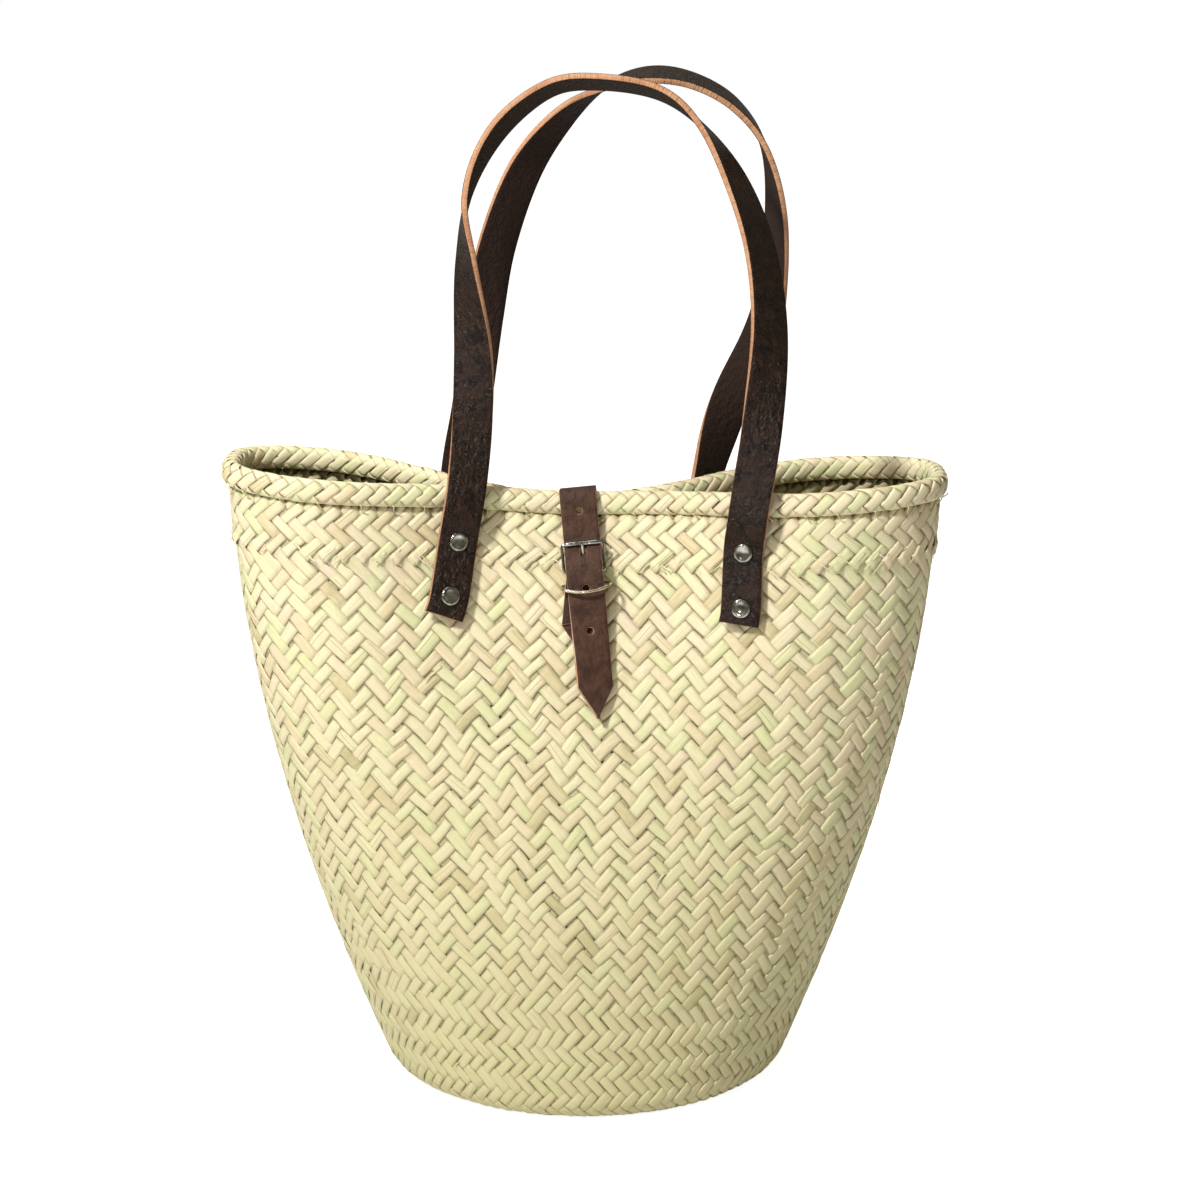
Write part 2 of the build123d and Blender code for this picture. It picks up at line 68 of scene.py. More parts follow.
def read_off(x, places, rows):
    """Rows of numbers read off at x, straight between their places."""
    return np.stack([np.interp(x, places, column) for column in rows.T], -1)


def wander(knot_gap, count, spread):
    """count values that drift smoothly, with a random knot every knot_gap of them."""
    knots = rng.normal(0, spread, int(count / knot_gap) + 3)
    return np.interp(np.arange(count) / knot_gap, np.arange(len(knots)), knots)


# ======== shape of the wall and rim
WALL_THICKNESS = 4.5
EDGE_RADIUS = 14.0
PROFILE_TOP = 400.0
BASE_HALF_WIDTH, MOUTH_HALF_WIDTH, FLARE_POWER = 133.0, 226.0, 1.8
BASE_HALF_DEPTH, MOUTH_HALF_DEPTH, FLATTEN_POWER = 127.0, 72.0, 0.9
PINCH_START, PINCH_END, PINCH_AMOUNT, PINCH_POWER = 110.0, 372.0, 0.875, 1.5
PINCH_CENTRE, PINCH_REACH, PINCH_FORWARD = -12.0, 120.0, 12.0
RIM_MIDDLE, RIM_END, RIM_TILT, RIM_EASE = 375.0, 389.5, -0.018, 60.0
RIM_HEIGHT, RIM_PROUD, RIM_GAP, WALL_GAP = 15.0, 4.25, 2.6, 2.6
FRONT_DIP, BACK_DIP, DIP_REACH = 1.5, 6.0, 62.0     # the closed strap presses the soft rims down
BEND_LIFT = EDGE_RADIUS * (math.pi / 2 - 1)     # profile length minus height, above the rounding
MID_REACH = RIM_MIDDLE + BEND_LIFT              # profile length up to the rim at mid front


def rim_centre(x):
    """Height of the rim's middle line."""
    share = (np.hypot(x, RIM_EASE) - RIM_EASE) / (math.hypot(MOUTH_HALF_WIDTH, RIM_EASE) - RIM_EASE)
    return RIM_MIDDLE + (RIM_END - RIM_MIDDLE) * share + RIM_TILT * x


def half_sizes(z):
    """Half width, half depth and squareness of the wall's plan at height z."""
    rise = (z - EDGE_RADIUS) / (PROFILE_TOP - EDGE_RADIUS)
    half_width = MOUTH_HALF_WIDTH - (MOUTH_HALF_WIDTH - BASE_HALF_WIDTH) * (1 - rise)**FLARE_POWER
    half_depth = BASE_HALF_DEPTH - (BASE_HALF_DEPTH - MOUTH_HALF_DEPTH) * max(rise, 0)**FLATTEN_POWER
    return half_width, half_depth, 2 + max(rise, 0)


def pinch(x, z):
    """How far the closed strap draws the mouth together, from 0 to 1."""
    up = np.clip((z - PINCH_START) / (PINCH_END - PINCH_START), 0, 1)
    return PINCH_AMOUNT * up**PINCH_POWER * np.exp(-(np.abs(x - PINCH_CENTRE) / PINCH_REACH)**3)


def wall_depth(x, z, side):
    """How far the wall's outer face stands from the middle plane; side is -1 in front."""
    half_width, half_depth, power = half_sizes(z)
    full = half_depth * (1 - min(abs(x) / half_width, 1)**power)**(1 / power)
    share = float(pinch(x, z))
    return full * (1 - share) - side * PINCH_FORWARD * share / PINCH_AMOUNT


def outline(z, inset, count):
    """Plan of the wall's middle surface: count points evenly along it, and its length."""
    half_width, half_depth, power = half_sizes(z)
    angle = np.linspace(0, math.tau, 6 * count + 1)
    c, s = np.cos(angle), np.sin(angle)
    x = (half_width - inset) * np.sign(c) * np.abs(c)**(2 / power)
    share = pinch(x, z)
    depth = np.where(s < 0, -1.0, 1.0) * (half_depth - inset) * np.abs(s)**(2 / power)
    y = depth * (1 - share) - PINCH_FORWARD * share / PINCH_AMOUNT * (np.abs(s) > 1e-9)
    line = np.stack([x, y], 1)
    run = run_along(line)
    x, y = read_off(np.arange(count) / count * run[-1], run, line).T
    tx, ty = np.roll(x, -1) - np.roll(x, 1), np.roll(y, -1) - np.roll(y, 1)
    inward = WALL_THICKNESS / 2 / np.hypot(tx, ty)
    return x - inward * ty, y + inward * tx, run[-1]


class Wall:
    """The wall's middle surface as a grid: u runs once round, s runs up the profile."""
    STEP = 2.5
    ROUND = 736

    def __init__(self):
        bend = EDGE_RADIUS * math.pi / 2
        rows = int((bend + PROFILE_TOP - EDGE_RADIUS) / self.STEP) + 1
        self.grid = np.zeros((rows, self.ROUND, 3))
        self.around = np.zeros(rows)
        for row in range(rows):
            s = row * self.STEP
            z, inset = s - BEND_LIFT, 0.0
            if s < bend:
                z = EDGE_RADIUS * (1 - math.cos(s / EDGE_RADIUS))
                inset = EDGE_RADIUS * (1 - math.sin(s / EDGE_RADIUS))
            x, y, self.around[row] = outline(z, inset, self.ROUND)
            self.grid[row] = np.stack([x, y, np.full(self.ROUND, z)], 1)
        du = np.roll(self.grid, -1, 1) - np.roll(self.grid, 1, 1)
        self.normal = unit(np.cross(du, np.gradient(self.grid, axis=0)))
        level = np.full(self.ROUND, MID_REACH)
        places = np.arange(self.ROUND) / self.ROUND
        for _ in range(5):      # the rim's height hangs on x, and x on the rim's height
            x = self.point(places, level)[:, 0]
            dip = np.where(places < 0.5, BACK_DIP, FRONT_DIP) * np.exp(-((x - PINCH_CENTRE) / DIP_REACH)**2)
            level = rim_centre(x) + BEND_LIFT - dip
        self.rim_reach = np.append(level, level[0])

    def sample(self, table, u, s):
        row = np.clip(s / self.STEP, 0, len(table) - 1.001)
        col = (u % 1.0) * self.ROUND
        r, c = row.astype(int), col.astype(int) % self.ROUND
        c1 = (c + 1) % self.ROUND
        across, up = (col - np.floor(col))[..., None], (row - r)[..., None]
        low = table[r, c] * (1 - across) + table[r, c1] * across
        high = table[r + 1, c] * (1 - across) + table[r + 1, c1] * across
        return low * (1 - up) + high * up

    def point(self, u, s):
        return self.sample(self.grid, u, s)

    def out(self, u, s):
        return unit(self.sample(self.normal, u, s))

    def rim_at(self, u):
        return np.interp((u % 1.0) * self.ROUND, np.arange(self.ROUND + 1), self.rim_reach)

    def length_at(self, s):
        return np.interp(s, np.arange(len(self.around)) * self.STEP, self.around)


wall = Wall()


# ======== mesh helpers
def make_object(name, verts, faces, **columns):
    """Smooth mesh object from millimetres, with one float attribute per keyword."""
    mesh = bpy.data.meshes.new(name)
    mesh.from_pydata((np.asarray(verts, float) * MM).tolist(), [], [list(map(int, f)) for f in faces])
    mesh.update()
    mesh.polygons.foreach_set("use_smooth", [True] * len(mesh.polygons))
    obj = bpy.data.objects.new(name, mesh)
    bpy.context.scene.collection.objects.link(obj)
    for key, values in columns.items():
        attribute = mesh.attributes.new(key, "FLOAT", "POINT")
        attribute.data.foreach_set("value", np.asarray(values, np.float32).ravel())
    return obj


class Strips:
    """Collects swept closed sections and makes one mesh of them."""

    def __init__(self):
        self.verts, self.faces, self.columns, self.count = [], [], {}, 0

    def add(self, rings, closed=False, **values):
        """rings is (n, k, 3); each value is one number, or one per ring, or one per section point."""
        n, k = rings.shape[:2]
        last = n if closed else n - 1
        i = np.arange(last)[:, None] * k
        i2 = (np.arange(last)[:, None] + 1) % n * k
        j = np.arange(k)[None, :]
        j2 = (j + 1) % k
        quads = np.stack([i + j, i + j2, i2 + j2, i2 + j], -1).reshape(-1, 4) + self.count
        self.faces.extend(quads.tolist())
        if not closed:
            self.faces.append([self.count + q for q in range(k)][::-1])
            self.faces.append([self.count + (n - 1) * k + q for q in range(k)])
        self.verts.append(rings.reshape(-1, 3))
        for key, value in values.items():
            value = np.asarray(value, float)
            if value.ndim == 1:
                value = value[:, None]
            self.columns.setdefault(key, []).append(np.broadcast_to(value, (n, k)).ravel())
        self.count += n * k

    def build(self, name):
        columns = {key: np.concatenate(parts) for key, parts in self.columns.items()}
        return make_object(name, np.concatenate(self.verts), self.faces, **columns)


# Leaf section: (across, share of the crown, share of the thickness) for each corner.
LEAF_SECTION = np.array([
    (-1.0, -1.0, -0.25), (0.0, 0.0, -0.5), (1.0, -1.0, -0.25),
    (1.0, -1.0, 0.25), (0.45, -0.2, 0.5), (-0.45, -0.2, 0.5)])


def add_leaf(parts, centre, out, half_width, crown, thickness, **values):
    """Adds a thin crowned strip along a line; crown and half width may vary along it."""
    along = unit(np.gradient(centre, axis=0))
    across = unit(np.cross(along, out))
    width = np.broadcast_to(half_width, len(centre))[:, None] * LEAF_SECTION[None, :, 0]
    lift = (np.broadcast_to(crown, len(centre))[:, None] * LEAF_SECTION[None, :, 1]
            + thickness * LEAF_SECTION[None, :, 2])
    rings = centre[:, None] + across[:, None] * width[..., None] + out[:, None] * lift[..., None]
    parts.add(rings, across=LEAF_SECTION[None, :, 0], **values)


def fix(obj, body, node):
    """Fixes a piece to a CAD body, to stand for one of its plain nodes."""
    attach(obj, body)
    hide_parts(node)
    return obj


# ======== woven wall
STRIPS = 92                 # strips leaning each way; a multiple of 4 closes the twill
STEPS = 5                   # mesh rings between two crossings
PLY_LIFT = 0.62             # a strip stands this far off the wall's middle
LEAF_THICKNESS = 0.5
LEAF_CROWN = 0.34
STRIP_HALF = 0.512          # half a strip's width, as a share of the pitch between strips
HEM_FIRST = 64              # crossings from here up are the doubled hem under the rim
HEM_LIFT, HEM_END_LIFT = 0.9, 1.5       # how far the hem, and the strip ends below it, stand out
GROOVE_FIRST, GROOVE_DEPTH = 69.6, 2.2  # the hem's top rows sink in under the rim's plait
GROUND_LIFT, GROUND_REACH = 1.3, 10     # raises the lowest turns, so that they rest on the ground
LOW_ROWS, LOW_ROWS_TILT = 17.0, 3.6     # lower down, the floats stand in level rows
# Length up the profile of each crossing: rows lie closer by the base and in the hem.
CLIMB = [(0, 0.0), (12, 57.0), (HEM_FIRST, 346.0), (HEM_FIRST + 10, 394.5)]
WAVES = 12                  # slow waves that keep the weave from looking ruled
SECTORS = 8                 # the wall is made in this many pieces
LOOSE_ENDS = 150
WHOLE = 5.0                 # place of the lengthwise split of a float that has none
# Each wave: cycles round, cycles per mm up, phase, strips sideways and mm upward.
waves = [(rng.integers(2, 18), rng.uniform(-0.02, 0.02), rng.uniform(0, math.tau),
          rng.normal(0, 0.055), rng.normal(0, 0.42)) for _ in range(WAVES)]


def climb(crossing, u):
    """Where a crossing lies on the wall: u round it and s up its profile."""
    share = np.interp(crossing, *zip(*CLIMB)) / MID_REACH
    fade = np.sin(np.pi * np.clip(share, 0, 1))
    shift, lift = 0.0, 0.0
    for cycles, per_mm, phase, sideways, upward in waves:
        wave = np.sin(math.tau * (cycles * u + per_mm * share * MID_REACH) + phase) * fade
        shift, lift = shift + wave * sideways, lift + wave * upward
    return u + shift / STRIPS, share * wall.rim_at(u) + lift


def float_key(strip, hand, crossing):
    """Whole number stepping by one at each crossing; a float is two in a row.
    hand 1 leans right going up."""
    right_leaning = np.where(hand > 0, strip, strip - crossing)
    left_leaning = right_leaning + crossing
    around = (right_leaning + left_leaning) / 2 / STRIPS
    switch = LOW_ROWS - LOW_ROWS_TILT * np.cos(math.tau * around)
    in_rows = (crossing < switch) | (crossing >= HEM_FIRST - 2)
    return np.where(in_rows, crossing, right_leaning + left_leaning)


def outer_sign(strip, hand, crossing):
    """1 where this strip is the outer one at a crossing, else -1."""
    return np.where(np.mod(float_key(strip, hand, crossing), 4) < 2, 1.0, -1.0) * hand


def float_tones(count):
    """Random colour positions, one per float: mostly near 0, a few darker, none very dark."""
    return np.maximum(rng.normal(0, 0.72, count) - 1.0 * (rng.random(count) < 0.03), -1.5)


def float_splits(count):
    """Where across its width each float has split lengthwise."""
    return np.where(rng.random(count) < 0.14, rng.uniform(-0.6, 0.6, count), WHOLE)


def wall_strip(parts, strip, hand):
    """One strip winding up the wall, over two and under two of those that lean the other way."""
    crossings, lengths = zip(*CLIMB)
    count = int(np.interp(MID_REACH - 4, lengths, crossings) * STEPS)
    t = np.arange(count) / STEPS
    u, s = climb(t, (strip + hand * t / 2 + wander(30, count, 0.035)) / STRIPS)
    crossing = np.floor(t).astype(int)
    here, after = outer_sign(strip, hand, crossing), outer_sign(strip, hand, crossing + 1)
    level = here + (after - here) * ease((t - crossing - 0.2) / 0.6)
    strip_end = np.exp(-((t - HEM_FIRST + 0.35) / 0.5)**2) * (level > 0) * (hand > 0)
    groove = ease((t - GROOVE_FIRST) / 0.5)
    lifted = HEM_LIFT * ease((t - HEM_FIRST + 0.9) / 0.4) + HEM_END_LIFT * strip_end - GROOVE_DEPTH * groove
    number = np.floor(float_key(strip, hand, np.floor(t + 0.5)) / 2).astype(int)
    number -= number.min()
    loose = rng.normal(0, 0.12, number.max() + 1)[number]
    out = wall.out(u, s)
    centre = wall.point(u, s) + out * (level * PLY_LIFT + lifted + loose)[:, None]
    centre[:, 2] += GROUND_LIFT * np.exp(-(s / GROUND_REACH)**2)
    pitch = wall.length_at(s) / STRIPS
    slope = np.sin(np.arctan2(2 * STEPS * np.gradient(s), pitch))
    half = STRIP_HALF * pitch * slope * (1 + rng.normal(0, 0.035)) * (1 + wander(9, count, 0.06))
    tone = rng.normal(0, 0.4) + float_tones(number.max() + 1)[number]
    # dip sets painted shade: 1 where the strip runs under, and up to 2 in the groove for a painted shadow
    # under the rim's plait.
    add_leaf(
        parts, centre, out, half, LEAF_CROWN * level, LEAF_THICKNESS, along=s / slope, tone=tone,
        split=float_splits(number.max() + 1)[number], seed=rng.random() * 60 + number * 1.7,
        dip=np.maximum((1 - level) / 2, 2.0 * groove))


def woven_wall():
    sectors = [Strips() for _ in range(SECTORS)]
    for strip in range(STRIPS):
        for hand in (1, -1):
            wall_strip(sectors[strip * SECTORS // STRIPS], strip, hand)
    return [parts.build(f"woven_wall_{number + 1}") for number, parts in enumerate(sectors)]


def frayed_ends():
    """Split strip ends standing out along the lower edge of the hem, and a few loose fibres."""
    parts = Strips()
    steps = np.linspace(0, 1, 8)
    for _ in range(LOOSE_ENDS):
        low = rng.random() < 0.25
        start = rng.uniform(2, HEM_FIRST - 4) if low else HEM_FIRST - 0.9 + rng.normal(0, 0.25)
        strip = rng.integers(STRIPS) + rng.uniform(-0.4, 0.4)
        t = start + rng.uniform(0.9, 2.0) * steps
        skew = rng.uniform(-0.12, 0.12)
        hand = 1 if rng.random() < 0.75 else -1
        u, s = climb(t, (strip + hand * t / 2 + skew * (1 - steps)) / STRIPS)
        out = wall.out(u, s)
        standing = rng.uniform(0.6, 2.0) * (1 - steps)**2
        base_lift = PLY_LIFT + LEAF_THICKNESS + (0.2 if low else HEM_LIFT)
        centre = wall.point(u, s) + out * (base_lift + standing)[:, None]
        half = rng.uniform(0.25, 1.3) * (0.35 + 0.65 * steps)
        add_leaf(parts, centre, out, half, 0.1, 0.25, along=s, tone=rng.normal(0.2, 1.0),
                 split=WHOLE, seed=rng.random() * 60, dip=0.0)
    return parts.build("frayed_strip_ends")


# ======== woven base
BASE_STRIP = 7.4            # pitch of the strips
BASE_LIFT = 1.5             # height of the disc's middle
BASE_OVERLAP = 3.0          # how far it reaches into the rounding of the wall
TURN_UP_REACH, TURN_UP = 9.0, 3.2       # length and rise of the strips' turned-up ends


def base_strip(parts, offset, order, lengthwise):
    """One strip across the base, its ends turned up inside the rounding of the wall."""
    reach_x, reach_y = (half - EDGE_RADIUS + BASE_OVERLAP for half in (BASE_HALF_WIDTH, BASE_HALF_DEPTH))
    long_reach, wide_reach = (reach_x, reach_y) if lengthwise else (reach_y, reach_x)
    share = 1 - (offset / wide_reach)**2
    if share < 0.03:
        return
    reach = long_reach * math.sqrt(share)
    p = np.linspace(-reach, reach, max(6, int(reach * 2 / BASE_STRIP * 4)))
    cell = p / BASE_STRIP + 100
    lower = np.floor(cell)
    turn = 1 if lengthwise else -1

    def sign(c):
        return turn * np.where(np.mod(c + order, 4) < 2, 1.0, -1.0)

    level = sign(lower) + (sign(lower + 1) - sign(lower)) * ease((cell - lower - 0.2) / 0.6)
    edge = np.clip((np.abs(p) - reach + TURN_UP_REACH) / TURN_UP_REACH, 0, 1)
    z = BASE_LIFT + level * PLY_LIFT * (1 - edge) + TURN_UP * edge**2
    fixed = np.full(len(p), offset)
    centre = np.stack([p, fixed, z] if lengthwise else [fixed, p, z], 1)
    down = np.tile([0.0, 0.0, -1.0], (len(p), 1))
    # dip darkens the floats where they run under, as painted shade.
    add_leaf(parts, centre, down, 0.485 * BASE_STRIP, -0.8 * LEAF_CROWN * level, LEAF_THICKNESS,
             along=p, tone=rng.normal(-0.2, 0.7), split=WHOLE, seed=rng.random() * 60, dip=(1 + level) / 2)


def woven_base():
    parts = Strips()
    for lengthwise in (True, False):
        for order in range(-17, 18):
            base_strip(parts, order * BASE_STRIP, order + 100, lengthwise)
    return parts.build("woven_base")


# ======== rim plait
PLAIT_PITCH = 10.4          # length of rim taken up by one strip of the plait
PLAIT_BANDS = 4             # bands of floats round the plait: front, top, inside and below
PLAIT_HALF_HEIGHT, PLAIT_HALF_DEPTH, PLAIT_SQUARENESS = 6.3, 4.9, 2.6
PLAIT_LIFT, PLAIT_CROWN, PLAIT_THICKNESS = 0.8, 0.45, 0.6
PLAIT_HALF_WIDTH = 0.53     # half a strip's width, as a share of the pitch between strips
PLAIT_REACH = 1.8           # crossings from the middle of a float to its tucked ends


class RimLine:
    """The rim's middle line once round, with its outward and upward directions."""

    def __init__(self, count=1472):
        u = np.arange(count) / count
        level = wall.rim_at(u)
        self.line = wall.point(u, level)
        along = unit(np.roll(self.line, -1, 0) - np.roll(self.line, 1, 0))
        out = wall.out(u, level)
        self.out = unit(out - along * (out * along).sum(1, keepdims=True))
        self.up = np.cross(self.out, along)
        self.up *= np.sign(self.up[:, 2:])
        self.run = run_along(np.vstack([self.line, self.line[:1]]))

    def at(self, run):
        """Line point, outward and upward directions at lengths along the rim."""
        run = np.mod(run, self.run[-1])
        return [read_off(run, self.run, np.vstack([table, table[:1]]))
                for table in (self.line, self.out, self.up)]


class PlaitSection:
    """The plait's rounded section: place and facing at a share of the way round, 0 at the front."""

    def __init__(self):
        angle = np.linspace(0, math.tau, 721)
        c, s = np.cos(angle), np.sin(angle)
        power = 2 / PLAIT_SQUARENESS
        depth = PLAIT_HALF_DEPTH * np.sign(c) * np.abs(c)**power
        height = PLAIT_HALF_HEIGHT * np.sign(s) * np.abs(s)**power
        self.spot = np.stack([depth, height], 1)
        run = run_along(self.spot)
        self.length, self.share = run[-1], run / run[-1]

    def at(self, share):
        here, before, after = (
            read_off(np.mod(share + step, 1), self.share, self.spot) for step in (0, -0.012, 0.012))
        way = unit(after - before)
        return here, np.stack([way[:, 1], -way[:, 0]], 1)


def rim_plait(rim):
    """Flat strips plaited into a tube: bands of floats that lean one way and then the other."""
    parts = Strips()
    section = PlaitSection()
    strips = 4 * round(rim.run[-1] / PLAIT_PITCH / 4)
    pitch = rim.run[-1] / strips
    rise = section.length / (2 * PLAIT_BANDS)
    half_width = PLAIT_HALF_WIDTH * pitch * math.sin(math.atan2(2 * rise, pitch))
    t = np.linspace(-PLAIT_REACH, PLAIT_REACH, 19)
    level = 1 - 2 * ease((np.abs(t) - 0.72) / 0.56)
    for band in range(PLAIT_BANDS):
        hand = 1 if band % 2 == 0 else -1
        for number in range(strips):
            place = 2 * band + t
            run = (number + hand * (0.25 + place / 2) + rng.normal(0, 0.03)) * pitch
            line, out, up = rim.at(run)
            spot, facing = section.at(place / (2 * PLAIT_BANDS))
            normal = out * facing[:, :1] + up * facing[:, 1:]
            lift = level * PLAIT_LIFT + rng.normal(0, 0.12)
            centre = line + out * spot[:, :1] + up * spot[:, 1:] + normal * lift[:, None]
            half = half_width * (1 + rng.normal(0, 0.04)) * (1 - 0.06 * (t / PLAIT_REACH)**2)
            # dip darkens the floats where they run under, as painted shade.
            add_leaf(
                parts, centre, normal, half, PLAIT_CROWN * level, PLAIT_THICKNESS,
                along=place * rise * 1.5, tone=float_tones(1)[0], split=float_splits(1)[0],
                seed=rng.random() * 60, dip=(1 - level) / 2)
    return parts.build("rim_plait")


def tube(parts, line, radius, closed=False, points=10, **values):
    """A round tube along a line of points, with a steady frame."""
    along = unit(np.roll(line, -1, 0) - np.roll(line, 1, 0) if closed else np.gradient(line, axis=0))
    start = np.array([0.0, 0.0, 1.0]) if abs(along[0][2]) < 0.8 else np.array([1.0, 0.0, 0.0])
    sides = [unit(np.cross(along[0], start))]
    for direction in along[1:]:
        sides.append(unit(sides[-1] - direction * sides[-1].dot(direction)))
    side = np.array(sides)
    other = np.cross(along, side)
    angle = np.linspace(0, math.tau, points, endpoint=False)
    radius = np.broadcast_to(radius, len(line))[:, None, None]
    rings = line[:, None] + radius * (side[:, None] * np.cos(angle)[None, :, None]
                                      + other[:, None] * np.sin(angle)[None, :, None])
    parts.add(rings, closed=closed, **values)


STITCHES, STITCH_RADIUS = 48, 0.4


def rim_stitches(rim):
    """Short cord stitches that catch the plait's lower edge and go into the wall."""
    parts = Strips()
    for number in range(STITCHES):
        run = (number + 0.5 + rng.uniform(-0.15, 0.15)) / STITCHES * rim.run[-1]
        lean = rng.uniform(1.5, 3.0)
        steps = np.linspace(0, 1, 9)
        line, out, up = rim.at(run + lean * (steps - 0.5))
        height = -RIM_HEIGHT / 2 + 1.8 - 4.2 * steps
        depth = PLAIT_HALF_DEPTH + 1.2 - 3.6 * ease(steps * 1.1) + 0.8 * np.sin(steps * math.pi)
        # dip 0.3 darkens the cords a little, as painted shade under the plait's edge.
        tube(parts, line + out * depth[:, None] + up * height[:, None], STITCH_RADIUS, points=8,
             along=steps * 9, across=0.0, tone=rng.normal(0, 0.8), split=WHOLE, seed=number * 1.7, dip=0.3)
    return parts.build("rim_cord_stitches")


# ======== leather sheets
def smooth_point(points, share):
    """Catmull-Rom curve through rows of numbers, its ends carried on straight."""
    points = np.asarray(points, float)
    padded = np.vstack([2 * points[0] - points[1], points, 2 * points[-1] - points[-2]])
    place = np.clip(np.asarray(share) * (len(points) - 1), 0, len(points) - 1 - 1e-9)
    i = place.astype(int)
    t = (place - i)[:, None]
    a, b, c, d = padded[i], padded[i + 1], padded[i + 2], padded[i + 3]
    return b + 0.5 * t * (c - a + t * (2 * a - 5 * b + 4 * c - d + t * (3 * (b - c) + d - a)))


def boundary_loops(quads):
    """Ordered boundary loops of a flat mesh, each with the sheet on its left."""
    edges = {(a, b) for q in quads for a, b in zip(q, q[1:] + q[:1])}
    following = {a: b for a, b in edges if (b, a) not in edges}
    loops = []
    while following:
        start = min(following)
        loop, step = [start], following.pop(start)
        while step != start:
            loop.append(step)
            step = following.pop(step)
        loops.append(loop)
    return loops


HOLE_PATCH = 4.5            # half side of the square of mesh round a hole
HOLE_SIDES = 16


def strap_grid(half_width, length, holes=(), point_length=0.0, step=4.0, lanes=3):
    """Flat mesh of a strap, rows along it: (across, along) points and quads.
    Each hole is (place along, radius across, radius along)."""
    rows, position, hole_rows = [], 0.0, {}
    for along, across_radius, along_radius in sorted(holes):
        count = max(1, round((along - HOLE_PATCH - position) / step))
        rows += list(np.linspace(position, along - HOLE_PATCH, count, endpoint=False))
        hole_rows[len(rows)] = (along, across_radius, along_radius)
        rows += list(np.linspace(along - HOLE_PATCH, along + HOLE_PATCH, 4, endpoint=False))
        position = along + HOLE_PATCH
    count = max(1, round((length - point_length - position) / step))
    rows += list(np.linspace(position, length - point_length, count + 1))
    if point_length:
        rows += list(length - point_length + point_length * np.linspace(0, 1, 9)[1:])
    outer = list(np.linspace(-half_width, -HOLE_PATCH, lanes, endpoint=False))
    columns = outer + list(np.linspace(-HOLE_PATCH, HOLE_PATCH, 5)) + [-x for x in outer[::-1]]
    wide = len(columns)
    flat = [[x, y] for y in rows for x in columns]
    quads = []
    for r in range(len(rows) - 1):
        for c in range(wide - 1):
            if lanes <= c < lanes + 4 and any(first <= r < first + 4 for first in hole_rows):
                continue
            corner = r * wide + c
            quads.append((corner, corner + 1, corner + 1 + wide, corner + wide))
    way_round = ([(0, i) for i in range(4)] + [(i, 4) for i in range(4)]
                 + [(4, 4 - i) for i in range(4)] + [(4 - i, 0) for i in range(4)])
    for first, (along, across_radius, along_radius) in hole_rows.items():
        corners = [(first + r) * wide + lanes + c for r, c in way_round]
        ring = range(len(flat), len(flat) + HOLE_SIDES)
        for corner in corners:
            angle = math.atan2(flat[corner][1] - along, flat[corner][0])
            flat.append([across_radius * math.cos(angle), along + along_radius * math.sin(angle)])
        for i in range(HOLE_SIDES):
            j = (i + 1) % HOLE_SIDES
            quads.append((corners[i], corners[j], ring[j], ring[i]))
    for spot in flat if point_length else []:
        spot[0] *= max(1 - max(0.0, spot[1] - length + point_length) / point_length, 0.05)
    used = sorted({v for q in quads for v in q})
    number = {v: i for i, v in enumerate(used)}
    return np.array([flat[v] for v in used]), [tuple(number[v] for v in q) for q in quads]


def thick_sheet(name, grid, place, thickness, bevel=0.45):
    """Closed sheet with softened edges; place maps (across, along) points and depths to 3-D."""
    flat, quads = grid
    loops = boundary_loops(quads)
    inner = flat.copy()
    for loop in loops:
        step = np.roll(flat[loop], -1, 0) - np.roll(flat[loop], 1, 0)
        inner[loop] += unit(np.stack([-step[:, 1], step[:, 0]], 1)) * bevel
    n, half = len(flat), thickness / 2
    layers = [(inner, np.full(n, half), 0.0), (inner, np.full(n, -half), 0.0)]
    faces = [list(q) for q in quads] + [[v + n for v in q][::-1] for q in quads]
    base = 2 * n
    for loop in loops:
        m = len(loop)
        for depth in (half - bevel, bevel - half):
            layers.append((flat[loop], np.full(m, depth), 1.0))
        for i in range(m):
            j = (i + 1) % m
            a, b, up_a, up_b = loop[i], loop[j], base + i, base + j
            faces.append([b, a, up_a, up_b])
            faces.append([up_b, up_a, up_a + m, up_b + m])
            faces.append([up_b + m, up_a + m, a + n, b + n])
        base += 2 * m
    verts = np.concatenate([place(points, depth) for points, depth, _ in layers])
    across, along = np.concatenate([points for points, _, _ in layers]).T
    depth = np.concatenate([depth / half for _, depth, _ in layers])
    edge = np.concatenate([np.full(len(points), mark) for points, _, mark in layers])
    return make_object(name, verts, faces, across=across, along=along, depth=depth, edge=edge)


# ======== handles
STRAP_WIDTH, STRAP_THICKNESS = 25.0, 4.0
LEFT, RIGHT = -1, 1
SIDES = {"front": -1, "back": 1}
# Feet, from the lower end up: x and z of the strap's middle line.
FEET = {
    ("front", LEFT): [(-88, 308.5), (-84.5, 320.5), (-79.5, 353), (-77, 367), (-73.5, 388)],
    ("front", RIGHT): [(95.5, 306), (97, 316), (98.5, 350), (100, 366), (103, 388)],
    ("back", LEFT): [(-92, 306), (-90.5, 316), (-86, 350), (-83, 367), (-80.5, 388)],
    ("back", RIGHT): [(64, 306), (66, 316), (73, 350), (77, 366), (81, 388)],
}
FOOT_TWIST = {("front", RIGHT): 8.0}        # degrees that a foot stands turned from the wall
